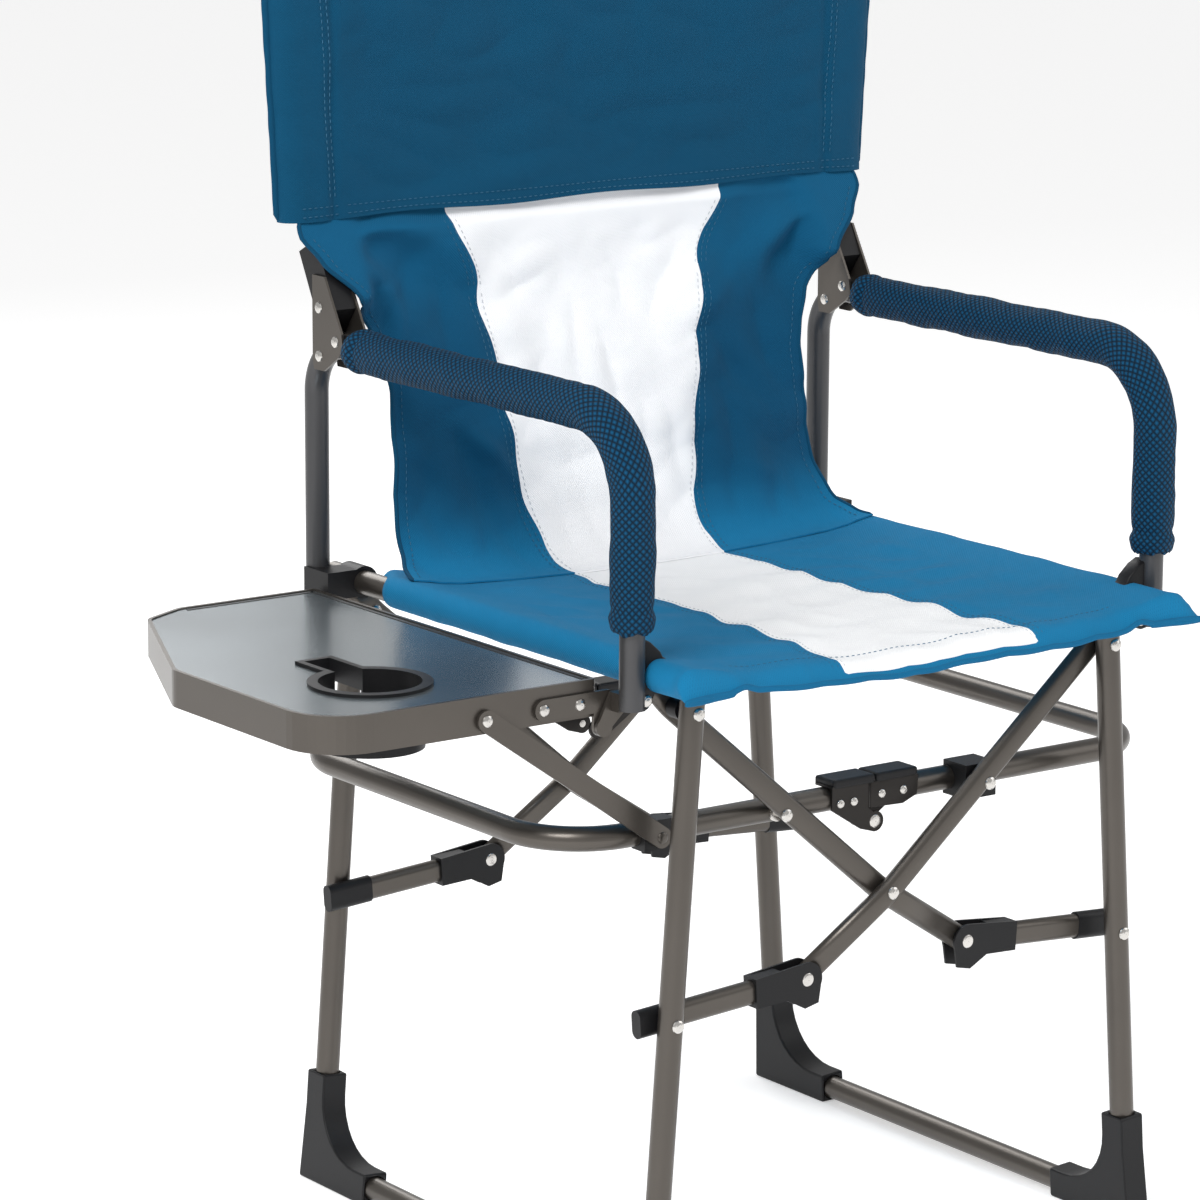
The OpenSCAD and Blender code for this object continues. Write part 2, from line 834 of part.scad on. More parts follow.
// Black cup holder: a keyhole flange, a cup with windows in its wall, and a phone slot
module cup_holder() {
    slot_x = -cup[0] + 5;
    flange_z = table_top_z - 1;
    cup_wall = 2;
    color(plastic)
        difference() {
            union() {
                translate([-cup[0], cup[1], flange_z]) cylinder(h = 2.5, r = cup_r);
                translate([slot_x - slot_w / 2 - 5, cup[1], flange_z])
                    cube([slot_w + 10, slot_end - cup[1] + 5, 2.5]);
                translate([-cup[0], cup[1], flange_z - cup_depth])
                    cylinder(h = cup_depth + 1, r = cup_in + cup_wall);
                translate([slot_x - slot_w / 2 - 2, cup[1], flange_z - 14])
                    cube([slot_w + 4, slot_end - cup[1] + 2, 15]);
            }
            translate([-cup[0], cup[1], flange_z - cup_depth + 2]) cylinder(h = cup_depth + 5, r = cup_in);
            translate([slot_x - slot_w / 2, cup[1], flange_z - 20])
                cube([slot_w, slot_end - cup[1], 30]);
            for (a = [0 : 30 : 330])
                translate([-cup[0], cup[1], flange_z - cup_depth + 10])
                    rotate([0, 0, a + 15])
                        translate([cup_in - 3, -2.5, 0])
                            cube([8, 5, cup_depth - 28]);
        }
}

// Ear from a strap's inner end down to the table's pivot
module table_ear() {
    translate(on(LEFT, table_pivot)) circle(r = ear_r);
    polygon([on(LEFT, table_pivot) + [-ear_r, 0], on(LEFT, table_pivot) + [-ear_r, 14],
             on(LEFT, table_pivot) + [12, 14], on(LEFT, table_pivot) + [ear_r, 0]]);
}

// Straps on the outside of the rim's front and rear walls, with their pivot ears
module table_brackets() {
    color(metal)
        for (y = [table_front_y, table_rear_y + strap_t])
            difference() {
                across(y)
                    linear_extrude(height = strap_t) {
                        strap(on(LEFT, bracket_end), [-table_in_x + 8, bracket_end[1]], strap_r);
                        table_ear();
                    }
                for (at = strap_rivets) pin_y(on(LEFT, at), y - 5, y + 5, plate_rivet_r);
                pin_y(on(LEFT, table_pivot), y - 5, y + 5, plate_rivet_r + pin_play);
            }
}

// Rivets of the straps, and the pivot rivet of the strut
module table_rivets() {
    out = strap_t + gap + gap / 3;
    color(steel) {
        for (at = strap_rivets) {
            rivet_y(on(LEFT, at), table_front_y - strap_t, table_front_y + rim_t, plate_rivet_r, 4.6, 2);
            rivet_y(on(LEFT, at), table_rear_y - rim_t, table_rear_y + strap_t, plate_rivet_r, 4.6, 2);
        }
        rivet_y(on(LEFT, strut_top), table_front_y - out, table_front_y + rim_t, plate_rivet_r, 4.6, 2);
    }
}

// Lugs on the left arm frame's posts that carry the table's pivot pins
module table_lugs() {
    lug_y = strap_t + 2 * gap;
    color(metal)
        for (end = [FRONT, REAR]) {
            plate_y = end < 0 ? table_front_y - lug_y : table_rear_y + lug_y + strap_t;
            post_y = end < 0 ? arm_front_y : arm_rear_y;
            block_y = end < 0 ? post_y + 4 : plate_y - strap_t;
            block_l = end < 0 ? plate_y - post_y - 4 : post_y - 4 - block_y;
            difference() {
                union() {
                    across(plate_y)
                        linear_extrude(height = strap_t) {
                            translate(on(LEFT, table_pivot)) circle(r = ear_r);
                            polygon([on(LEFT, table_pivot) + [-ear_r, 0], [-arm_x - 6, arm_foot_z + 11],
                                     [-arm_x + 8, arm_foot_z + 11], [-arm_x + 8, arm_foot_z - 3],
                                     on(LEFT, table_pivot) + [ear_r, 0]]);
                        }
                    translate([-arm_x - 6, block_y, arm_foot_z - 3]) cube([14, block_l, 14]);
                }
                translate([-arm_x, post_y, arm_foot_z - 20]) cylinder(h = 60, r = tube_r);
            }
            pin_start = end < 0 ? plate_y - 0.5 : plate_y - strap_t - strap_t - gap - 1.5;
            pin_y(on(LEFT, table_pivot), pin_start, pin_start + strap_t + strap_t + gap + 2, plate_rivet_r);
        }
}

// A flat strut from the table's rim down to the loop, with a domed foot rivet
module table_strut() {
    back = table_front_y - gap;
    color(metal)
        difference() {
            union() {
                across(back)
                    linear_extrude(height = strap_t)
                        strap(on(LEFT, strut_top), on(LEFT, strut_foot), strap_r);
                translate([-strut_foot[0], back - strap_t, strut_foot[1]])
                    rotate([90, 0, 0])
                        rotate_extrude()
                            polygon(concat([[0, -1]], [[4.6, -1]], dome(4.6, 2, 0, 1)));
            }
            pin_y(on(LEFT, strut_top), back - 5, back + 5, plate_rivet_r + pin_play);
        }
}

// ---------------------------------------------------------------- fabric

// Seat panel between the rails, a plain slab in place of the cloth
module seat_fabric() {
    half_w = rail_x - bush_r - 1;
    color(cloth)
        translate([-half_w, seat_front_y, rail_z + 1])
            cube([2 * half_w, seat_rear_y - seat_front_y, cloth_t]);
}

// Back panel: a bent sheet from the seat's rear edge up between the back posts
back_line = [
    [seat_rear_y + cloth_t + 1, rail_z + 1], [seat_rear_y + 9, rail_z + 54], [seat_rear_y + 24, rail_z + 104],
    [188, rail_z + 154], [198, rail_z + 214], [200, rail_z + 289]
];
module back_fabric() {
    count = len(back_line) - 1;
    low = concat(back_line, [for (i = [count : -1 : 0]) back_line[i] + [cloth_t, 0]]);
    panel_z = back_line[count][1];
    panel_y = back_line[count][0];
    color(cloth) {
        along(-back_w / 2)
            linear_extrude(height = back_w) polygon(low);
        translate([-back_top_w / 2 + 16, panel_y, panel_z])
            cube([back_top_w - 32, cloth_t, back_top - 4 - panel_z]);
    }
}

// ---------------------------------------------------------------- assembly

module placed() {
    translate([-centre[0], -centre[1], 0]) children();
}

placed() leg_frame(LEFT);  // leg_frame_left
placed() foot(LEFT, FRONT);  // foot_front_left
placed() foot(LEFT, REAR);  // foot_rear_left
placed() leg_rivets(LEFT);  // leg_rivets_left
placed() leg_spacers_left();
placed() leg_frame(RIGHT);  // leg_frame_right
placed() foot(RIGHT, FRONT);  // foot_front_right
placed() foot(RIGHT, REAR);  // foot_rear_right
placed() leg_rivets(RIGHT);  // leg_rivets_right
placed() seat_rail(LEFT);  // seat_rail_left
placed() cross_bar(LEFT, FRONT);  // bar_front_left
placed() cross_bar(LEFT, REAR);  // bar_rear_left
placed() cross_rivets_left();
placed() seat_rail(RIGHT);  // seat_rail_right
placed() cross_bar(RIGHT, FRONT);  // bar_front_right
placed() cross_bar(RIGHT, REAR);  // bar_rear_right
placed() cross_rivets_right();
placed() link(LEFT, FRONT);  // link_front_left
placed() link(LEFT, REAR);  // link_rear_left
placed() link_clevises(LEFT);  // link_clevises_left
placed() link_caps(LEFT);  // link_caps_left
placed() link_rivets(LEFT);  // link_rivets_left
placed() link(RIGHT, FRONT);  // link_front_right
placed() link(RIGHT, REAR);  // link_rear_right
placed() link_clevises(RIGHT);  // link_clevises_right
placed() link_caps(RIGHT);  // link_caps_right
placed() link_rivets(RIGHT);  // link_rivets_right
placed() loop_half(LEFT);  // loop_left
placed() loop_hinges(LEFT);  // loop_hinges_left
placed() loop_rivets();
placed() strut_saddle();
placed() loop_half(RIGHT);  // loop_right
placed() loop_hinges(RIGHT);  // loop_hinges_right
placed() loop_spacers();
placed() arm_frame(LEFT);  // arm_frame_left
placed() arm_pad(LEFT);  // arm_pad_left
placed() front_bracket(LEFT);  // front_bracket_left
placed() rear_socket(LEFT);  // rear_socket_left
placed() back_hinge(LEFT);  // back_hinge_left
placed() hinge_rivets(LEFT);  // hinge_rivets_left
placed() arm_frame(RIGHT);  // arm_frame_right
placed() arm_pad(RIGHT);  // arm_pad_right
placed() front_bracket(RIGHT);  // front_bracket_right
placed() rear_socket(RIGHT);  // rear_socket_right
placed() back_hinge(RIGHT);  // back_hinge_right
placed() hinge_rivets(RIGHT);  // hinge_rivets_right
placed() table_lugs();
placed() table_rim();
placed() table_top();
placed() cup_holder();
placed() table_brackets();
placed() table_rivets();
placed() table_strut();
placed() back_knuckle(LEFT);  // back_knuckle_left
placed() back_post(LEFT);  // back_post_left
placed() back_knuckle(RIGHT);  // back_knuckle_right
placed() back_post(RIGHT);  // back_post_right
placed() seat_fabric();
placed() back_fabric();
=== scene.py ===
import bpy, bmesh, json, math
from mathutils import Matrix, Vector, noise


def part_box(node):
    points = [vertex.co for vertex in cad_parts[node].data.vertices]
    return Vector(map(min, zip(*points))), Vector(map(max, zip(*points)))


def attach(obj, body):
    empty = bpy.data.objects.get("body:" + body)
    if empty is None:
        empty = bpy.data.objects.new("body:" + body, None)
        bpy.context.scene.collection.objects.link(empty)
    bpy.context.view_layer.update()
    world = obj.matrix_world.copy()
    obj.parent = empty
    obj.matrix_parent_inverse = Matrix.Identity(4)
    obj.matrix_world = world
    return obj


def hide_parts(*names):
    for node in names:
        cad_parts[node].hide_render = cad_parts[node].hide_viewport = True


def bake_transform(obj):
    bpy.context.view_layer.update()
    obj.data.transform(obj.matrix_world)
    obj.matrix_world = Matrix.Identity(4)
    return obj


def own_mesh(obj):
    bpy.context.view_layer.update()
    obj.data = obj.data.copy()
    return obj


with open("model.json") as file:
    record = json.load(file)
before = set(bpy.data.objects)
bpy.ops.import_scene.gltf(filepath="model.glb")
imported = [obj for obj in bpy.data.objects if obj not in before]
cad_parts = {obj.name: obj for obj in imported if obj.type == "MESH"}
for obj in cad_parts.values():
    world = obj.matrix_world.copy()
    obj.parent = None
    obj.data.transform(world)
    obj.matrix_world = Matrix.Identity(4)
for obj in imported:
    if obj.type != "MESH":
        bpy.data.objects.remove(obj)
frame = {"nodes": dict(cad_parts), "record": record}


def write_size():
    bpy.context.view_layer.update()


write_size()

# The chair's own middle plane and the middle between the legs, in the row frame
rail_l, rail_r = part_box("seat_rail_left"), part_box("seat_rail_right")
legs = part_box("leg_frame_left")
SX = (rail_l[0][0] + rail_r[1][0]) / 2
SY = (legs[0][1] + legs[1][1]) / 2


def W(x, y, z):
    """A point given in millimetres from the chair's middle, in the row frame."""
    return Vector((x / 1000 + SX, y / 1000 + SY, z / 1000))


def place(name, data):
    """A new object in the scene that shows data."""
    o = bpy.data.objects.new(name, data)
    bpy.context.collection.objects.link(o)
    return o


# ---------------------------------------------------------------- camera
cam_data = bpy.data.cameras.new("camera")
cam = place("camera", cam_data)
bpy.context.scene.camera = cam
cam.location = W(-2378.6, -3111.4, 1346.4)
cam.rotation_euler = (math.radians(77.6), 0, math.radians(-34.7))
cam_data.lens = 152.85
cam_data.sensor_width = 36
cam_data.shift_x = 0.0918
cam_data.shift_y = 0.0075
cam_data.clip_end = 50

# ---------------------------------------------------------------- materials


def material(name):
    m = bpy.data.materials.new(name)
    m.use_nodes = True
    nt = m.node_tree
    return m, nt, nt.nodes["Principled BSDF"]


def shade(color, k):
    """The colour k times as bright, with an alpha of 1."""
    return tuple(min(1, c * k) for c in color) + (1,)


def math_node(nt, op, a, b=None):
    """Output of a math node; a and b are numbers or other nodes' outputs."""
    n = nt.nodes.new("ShaderNodeMath")
    n.operation = op
    for i, v in enumerate((a, b)):
        if v is None:
            continue
        if isinstance(v, (int, float)):
            n.inputs[i].default_value = v
        else:
            nt.links.new(v, n.inputs[i])
    return n.outputs[0]


MIX_FAC, MIX_A, MIX_B, MIX_OUT = 0, 6, 7, 2  # a colour mix node's sockets


def mix_color(nt, fac, a, b):
    n = nt.nodes.new("ShaderNodeMix")
    n.data_type = "RGBA"
    for i, v in ((MIX_FAC, fac), (MIX_A, a), (MIX_B, b)):
        if isinstance(v, (int, float, tuple)):
            n.inputs[i].default_value = v
        else:
            nt.links.new(v, n.inputs[i])
    return n.outputs[MIX_OUT]


def noise_out(nt, scale, detail=3.0, coords="Object"):
    tc = nt.nodes.new("ShaderNodeTexCoord")
    n = nt.nodes.new("ShaderNodeTexNoise")
    n.inputs["Scale"].default_value = scale
    n.inputs["Detail"].default_value = detail
    nt.links.new(tc.outputs[coords], n.inputs["Vector"])
    return n.outputs["Fac"]


def uv_axes(nt):
    """The two flat coordinates, in metres along the cloth."""
    uv = nt.nodes.new("ShaderNodeUVMap")
    sep = nt.nodes.new("ShaderNodeSeparateXYZ")
    nt.links.new(uv.outputs[0], sep.inputs[0])
    return sep.outputs[0], sep.outputs[1]


def bump(nt, bsdf, height, strength, distance):
    b = nt.nodes.new("ShaderNodeBump")
    b.inputs["Strength"].default_value = strength
    b.inputs["Distance"].default_value = distance
    nt.links.new(height, b.inputs["Height"])
    nt.links.new(b.outputs["Normal"], bsdf.inputs["Normal"])


def coated(name, color, metallic, rough, grain=900.0, grain_strength=0.12, spread=0.06,
           coat=0.0, gloss=0.5):
    """Paint, plastic or steel: uneven tone and roughness, a fine grain and perhaps a coat."""
    m, nt, p = material(name)
    fine = noise_out(nt, grain, 2.0)
    broad = noise_out(nt, 9.0, 4.0)
    tones = mix_color(nt, broad, shade(color, 0.82), shade(color, 1.15))
    nt.links.new(tones, p.inputs["Base Color"])
    p.inputs["Metallic"].default_value = metallic
    uneven = math_node(nt, "ADD", math_node(nt, "MULTIPLY", broad, spread), rough - spread / 2)
    nt.links.new(uneven, p.inputs["Roughness"])
    p.inputs["Coat Weight"].default_value = coat
    p.inputs["Specular IOR Level"].default_value = gloss
    p.inputs["Coat Roughness"].default_value = 0.2
    bump(nt, p, fine, grain_strength, 0.0004)
    return m


M_FRAME = coated("frame_paint", (0.102, 0.091, 0.080), 0.78, 0.34, coat=0.08)
M_POST = coated("post_paint", (0.070, 0.070, 0.073), 0.6, 0.36, coat=0.1)
M_STEEL = coated("rivet_steel", (0.62, 0.60, 0.57), 1.0, 0.22, 400.0, 0.05)
M_BLACK = coated("black_plastic", (0.009, 0.009, 0.010), 0.0, 0.42, 1400.0, 0.25,
                 gloss=0.24)
M_TOP = coated("table_lacquer", (0.21, 0.245, 0.265), 0.72, 0.24, 1200.0, 0.05, coat=0.4)
# Painted shade: near-black for the dark line along the inside of the table's rim
M_RIM_SHADE = coated("table_rim_shade", (0.015, 0.016, 0.018), 0.0, 0.5)
M_THREAD = coated("thread", (0.020, 0.115, 0.21), 0.0, 0.8)
M_THREAD_W = coated("thread_white", (0.55, 0.57, 0.60), 0.0, 0.8)


DARK, LIGHT = 0.80, 1.14  # how far the tone of the coloured cloth runs


def cloth(name, blue, white=None, rough=0.82, pitch=0.0021, low=None):
    """Woven polyester: threads from the flat coordinates, in metres.

    The cloth is white where the attribute sd is over 0; painted light and shade, kept in a vertex
    attribute, turns it towards the colour low.
    """
    m, nt, p = material(name)
    across, along = uv_axes(nt)
    turns = 2 * math.pi / pitch
    su = math_node(nt, "SINE", math_node(nt, "MULTIPLY", across, turns))
    sv = math_node(nt, "SINE", math_node(nt, "MULTIPLY", along, turns))
    weave = math_node(nt, "MULTIPLY", su, sv)
    slub = noise_out(nt, 60.0, 5.0, "UV")
    broad = noise_out(nt, 5.0, 4.0, "UV")
    height = math_node(nt, "ADD", math_node(nt, "MULTIPLY", weave, 0.5),
                       math_node(nt, "MULTIPLY", slub, 0.9))
    fine = math_node(nt, "ADD", math_node(nt, "MULTIPLY", weave, 0.10),
                     math_node(nt, "MULTIPLY", slub, 0.3))
    fac = math_node(nt, "ADD", math_node(nt, "MULTIPLY", broad, 0.7), fine)
    col = mix_color(nt, fac, shade(blue, DARK), shade(blue, LIGHT))
    # Painted light and shade: a vertex attribute turns the blue towards the lighter colour low
    # where the cloth is painted lit
    if low:
        painted_light = nt.nodes.new("ShaderNodeAttribute")
        painted_light.attribute_name = "painted_light"
        painted_light_blue = mix_color(nt, fac, shade(low, DARK), shade(low, LIGHT))
        col = mix_color(nt, painted_light.outputs["Fac"], col, painted_light_blue)
    if white:
        at = nt.nodes.new("ShaderNodeAttribute")
        at.attribute_name = "sd"
        inside = math_node(nt, "GREATER_THAN", at.outputs["Fac"], 0.0)
        pale = mix_color(nt, fac, shade(white, 0.97), shade(white, 1.02))
        col = mix_color(nt, inside, col, pale)
    nt.links.new(col, p.inputs["Base Color"])
    p.inputs["Roughness"].default_value = rough
    p.inputs["Specular IOR Level"].default_value = 0.16
    p.inputs["Sheen Weight"].default_value = 0.02
    p.inputs["Sheen Roughness"].default_value = 0.5
    bump(nt, p, height, 0.55, 0.0006)
    return m


SEAT_BLUE = (0.006, 0.182, 0.378)
M_SEAT = cloth("seat_cloth", SEAT_BLUE, (0.95, 0.96, 0.97))
# The lower back turns towards the seat blue with its painted light and shade
M_BACK = cloth("back_cloth", (0.001, 0.068, 0.152), (0.93, 0.94, 0.96), low=SEAT_BLUE)
M_HEM = cloth("seat_hem", (0.004, 0.135, 0.290), pitch=0.0016)
M_HINGE = coated("hinge_paint", (0.026, 0.023, 0.021), 0.5, 0.40, gloss=0.3)
M_TOPCLOTH = cloth("top_cloth", (0.0003, 0.062, 0.134))
M_BIND = cloth("binding", (0.0008, 0.062, 0.135), pitch=0.0016)


DIAMOND = 0.0107  # pitch of the arm sleeves' mesh, in metres


def mesh_sleeve(name):
    """Knitted diamond mesh over foam: two families of diagonal threads with dark gaps between."""
    m, nt, p = material(name)
    around, along = uv_axes(nt)
    u = math_node(nt, "MULTIPLY", around, 2 * math.pi / DIAMOND)
    v = math_node(nt, "MULTIPLY", along, 2 * math.pi / DIAMOND)
    a = math_node(nt, "ABSOLUTE", math_node(nt, "SINE", math_node(nt, "ADD", u, v)))
    b = math_node(nt, "ABSOLUTE", math_node(nt, "SINE", math_node(nt, "SUBTRACT", u, v)))
    thread = math_node(nt, "MULTIPLY", a, b)
    broad = noise_out(nt, 14.0, 4.0, "UV")
    col = mix_color(nt, thread, (0.0002, 0.005, 0.013, 1), (0.002, 0.080, 0.185, 1))
    col = mix_color(nt, math_node(nt, "MULTIPLY", broad, 0.25), col, (0.003, 0.035, 0.075, 1))
    nt.links.new(col, p.inputs["Base Color"])
    p.inputs["Roughness"].default_value = 0.7
    p.inputs["Specular IOR Level"].default_value = 0.15
    p.inputs["Sheen Weight"].default_value = 0.02
    bump(nt, p, thread, 0.9, 0.0012)
    return m


M_SLEEVE = mesh_sleeve("arm_mesh")

NODE_MATERIALS = {"frame_metal": M_FRAME, "post_metal": M_POST, "rivet_steel": M_STEEL,
                  "black_plastic": M_BLACK, "table_plastic": M_TOP, "arm_sleeve": M_SLEEVE,
                  "seat_cloth": M_SEAT}
for sub in frame["record"]["subparts"]:
    o = frame["nodes"][sub["node"]]
    o.data.materials.clear()
    o.data.materials.append(NODE_MATERIALS[sub["material_slot"]])


def soften(obj, width, segments=2):
    """Moulded edges: a small bevel on the sharp corners only."""
    b = obj.modifiers.new("edges", "BEVEL")
    b.width = width
    b.segments = segments
    b.limit_method = "ANGLE"
    b.angle_limit = math.radians(50)
    b.harden_normals = False


FEET = ("foot_front_left", "foot_front_right", "foot_rear_left", "foot_rear_right")
SOFTENED = {
    0.0018: FEET,
    0.0007: ("link_clevises_left", "link_clevises_right", "cup_holder"),
    0.002: ("loop_spacers", "strut_saddle"),
    0.0015: ("front_bracket_left", "front_bracket_right", "rear_socket_left", "rear_socket_right"),
    0.0009: ("table_rim",),
    0.0005: ("back_hinge_left", "back_hinge_right"),
    0.0006: ("table_strut", "table_brackets", "loop_hinges_left", "loop_hinges_right"),
}
for width, names in SOFTENED.items():
    for name in names:
        soften(frame["nodes"][name], width)

# The feet are moulded all over: their facets are welded before the bevel
for name in FEET:
    o = frame["nodes"][name]
    if "custom_normal" in o.data.attributes:
        o.data.attributes.remove(o.data.attributes["custom_normal"])
    o.data.shade_smooth()
    weld = o.modifiers.new("weld", "WELD")
    weld.merge_threshold = 0.00002
    o.modifiers.move(len(o.modifiers) - 1, 0)
    o.modifiers["edges"].angle_limit = math.radians(35)
    o.modifiers["edges"].harden_normals = True

# ---------------------------------------------------------------- mesh helpers


def make(name, verts, faces, mat, uvs=None, sd=None, rounded=True, painted_light=None):
    """A mesh object; uvs, sd and the painted light and shade hold one value a vertex."""
    me = bpy.data.meshes.new(name)
    me.from_pydata([tuple(v) for v in verts], [], faces)
    me.update()
    if uvs:
        layer = me.uv_layers.new(name="UVMap")
        for loop in me.loops:
            layer.data[loop.index].uv = uvs[loop.vertex_index]
    for key, values in (("sd", sd), ("painted_light", painted_light)):
        if values:
            at = me.attributes.new(key, "FLOAT", "POINT")
            at.data.foreach_set("value", values)
    if rounded:
        me.polygons.foreach_set("use_smooth", [True] * len(me.polygons))
    me.materials.append(mat)
    return place(name, me)


def joined(rows):
    """Rows of values as one list, or None where there are none."""
    return [value for row in rows for value in row] if rows else None


def grid(name, rows, mat, uvs=None, sd=None, close=False, painted_light=None):
    """A quad mesh over rows of points; close joins each row's ends."""
    n, faces = len(rows[0]), []
    last = n if close else n - 1
    for j in range(len(rows) - 1):
        for i in range(last):
            k = (i + 1) % n
            faces.append((j * n + i, j * n + k, (j + 1) * n + k, (j + 1) * n + i))
    return make(name, joined(rows), faces, mat, joined(uvs), joined(sd), painted_light=joined(painted_light))


def thicken(obj, t):
    """Gives a sheet its thickness in the mesh itself."""
    s = obj.modifiers.new("thickness", "SOLIDIFY")
    s.thickness = t
    s.offset = 0.0
    bpy.context.view_layer.objects.active = obj
    bpy.context.view_layer.update()
    deps = bpy.context.evaluated_depsgraph_get()
    me = bpy.data.meshes.new_from_object(obj.evaluated_get(deps))
    obj.modifiers.clear()
    me.set_sharp_from_angle(angle=math.radians(60))
    obj.data = me


def smooth(t):
    """0 below 0, 1 above 1, and an even rise between."""
    t = max(0.0, min(1.0, t))
    return t * t * (3 - 2 * t)


def interp(table, x):
    """Smooth value from (position, value) pairs."""
    if x <= table[0][0]:
        return table[0][1]
    for (x0, y0), (x1, y1) in zip(table, table[1:]):
        if x <= x1:
            t = (x - x0) / (x1 - x0)
            return y0 + (y1 - y0) * smooth(t) * 0.5 + (y1 - y0) * 0.5 * t
    return table[-1][1]


def even(points, n):
    """The same line with n points at equal distances, and its length."""
    d = [0.0]
    for a, b in zip(points, points[1:]):
        d.append(d[-1] + math.dist(a, b))
    out, k = [], 0
    for i in range(n):
        t = d[-1] * i / (n - 1)
        while k < len(d) - 2 and d[k + 1] < t:
            k += 1
        f = (t - d[k]) / max(d[k + 1] - d[k], 1e-9)
        out.append(tuple(a + (b - a) * min(1, f) for a, b in zip(points[k], points[k + 1])))
    return out, d[-1]


# A stitch: 0 to 5 are its outline on the cloth, 6 and 7 its raised middle
STITCH_FACES = ((0, 1, 6), (1, 2, 7, 6), (2, 3, 7), (3, 4, 7), (4, 5, 6, 7), (5, 0, 6),
                (5, 4, 3, 2, 1, 0))


def stitches(name, lines, mat, length=3.4, gap=5.2, width=0.85, rise=0.5):
    """Rows of thread stitches along lines of (point, outward direction), in millimetres."""
    verts, faces = [], []
    for line in lines:
        pts = [W(*p) for p, n in line]
        nrm = [Vector(n) for p, n in line]
        d = [0.0]
        for a, b in zip(pts, pts[1:]):
            d.append(d[-1] + (b - a).length)
        t, k = 0.002, 0
        while t + length / 1000 < d[-1]:
            ends = []
            for q in (t, t + length / 1000):
                while k < len(d) - 2 and d[k + 1] < q:
                    k += 1
                f = (q - d[k]) / max(d[k + 1] - d[k], 1e-9)
                ends.append(pts[k].lerp(pts[k + 1], f))
            n = nrm[k].normalized()
            along = (ends[1] - ends[0]).normalized()
            side = along.cross(n).normalized() * width / 2000
            up = n * rise / 1000
            mid = (ends[0] + ends[1]) / 2
            quarter = [(ends[0] + mid) / 2, (ends[1] + mid) / 2]
            base = len(verts)
            verts += [ends[0], quarter[0] - side, quarter[1] - side, ends[1],
                      quarter[1] + side, quarter[0] + side, quarter[0] + up, quarter[1] + up]
            faces += [tuple(base + k for k in face) for face in STITCH_FACES]
            t += gap / 1000
    return make(name, verts, faces, mat, rounded=False)


def rope(name, line, r, mat, flat=1.0, n=10, out=(0, -1, 0)):
    """A bound edge: an oval tube along a line in millimetres."""
    rows, uvs, s = [], [], 0.0
    pts = [W(*p) for p in line]
    for i, p in enumerate(pts):
        a, b = pts[max(i - 1, 0)], pts[min(i + 1, len(pts) - 1)]
        run = (b - a).normalized()
        e1 = Vector(out).cross(run).normalized()
        e2 = run.cross(e1).normalized()
        if i:
            s += (p - pts[i - 1]).length
        k = 0.3 if i in (0, len(pts) - 1) else 1.0
        rows.append([p + (e1 * math.cos(q) + e2 * math.sin(q) * flat) * r * k / 1000
                     for q in (2 * math.pi * j / n for j in range(n))])
        uvs.append([(j * 2 * math.pi * r / n / 1000, s) for j in range(n)])
    return grid(name, rows, mat, uvs, close=True)


def bumps(x, y, z, scale, seed):
    """Smooth noise from about -1 to 1, with swells of about scale millimetres."""
    return noise.noise(Vector((x / scale + seed, y / scale, z / scale)))


# ---------------------------------------------------------------- flat-oval bars, rounded
# Centre line of a right bar in X and Z, from the seat rail down past the middle to the link; the
# left bars are its mirror image
BAR = [(228, 506), (201, 475), (0, 304), (-83, 250)]
BAR_IN, BAR_OUT = 7, 9.5  # where the tube starts inside the rail, and how far it ends past the foot
BEND = 7  # length of a bend's arms
FLAT, ROUND = 4.0, 5.4  # the oval is a round of this radius, pulled apart by the flat each way
BAR_SIDES = 32


def bar(name, side, y, body):
    (x0, z0), (x1, z1), (xa, za), (xb, zb) = BAR
    d = math.dist(BAR[0], BAR[1])
    e = math.dist(BAR[2], BAR[3])
    pts = [(x0 + (x1 - x0) * BAR_IN / d, z0 + (z1 - z0) * BAR_IN / d), BAR[1], BAR[2],
           (xb + (xb - xa) * BAR_OUT / e, zb + (zb - za) * BAR_OUT / e)]
    line = [pts[0]]
    for i in (1, 2):
        a, b, c = Vector(pts[i - 1]), Vector(pts[i]), Vector(pts[i + 1])
        p, q = b + (a - b).normalized() * BEND, b + (c - b).normalized() * BEND
        for t in (0, 0.25, 0.5, 0.75, 1):
            line.append(tuple((1 - t) ** 2 * p + 2 * t * (1 - t) * b + t * t * q))
    line.append(pts[3])
    rows, uvs = [], []
    for i, p in enumerate(line):
        a, b = Vector(line[max(i - 1, 0)]), Vector(line[min(i + 1, len(line) - 1)])
        r = (b - a).normalized()
        nrm = Vector((-r[1], r[0]))
        row = []
        for k in range(BAR_SIDES):
            q = 2 * math.pi * k / BAR_SIDES
            h = FLAT * (1 if math.sin(q) > 0 else -1) + ROUND * math.sin(q)
            dep = ROUND * math.cos(q)
            row.append(W(side * (p[0] + nrm[0] * h), y + dep, p[1] + nrm[1] * h))
        rows.append(row)
        uvs.append([(k * 0.0015, i * 0.02) for k in range(BAR_SIDES)])
    o = grid(name + "_tube", rows, M_FRAME, uvs, close=True)
    bm = bmesh.new()
    bm.from_mesh(o.data)
    bmesh.ops.holes_fill(bm, edges=bm.edges)
    bmesh.ops.recalc_face_normals(bm, faces=bm.faces)
    bm.to_mesh(o.data)
    bm.free()
    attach(o, body)
    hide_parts(name)


SIDES = (("left", -1), ("right", 1))
for side, sign in SIDES:
    for end in ("front", "rear"):
        name = "bar_%s_%s" % (end, side)
        lo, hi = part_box(name)
        bar(name, sign, ((lo[1] + hi[1]) / 2 - SY) * 1000, "scissor_" + side)

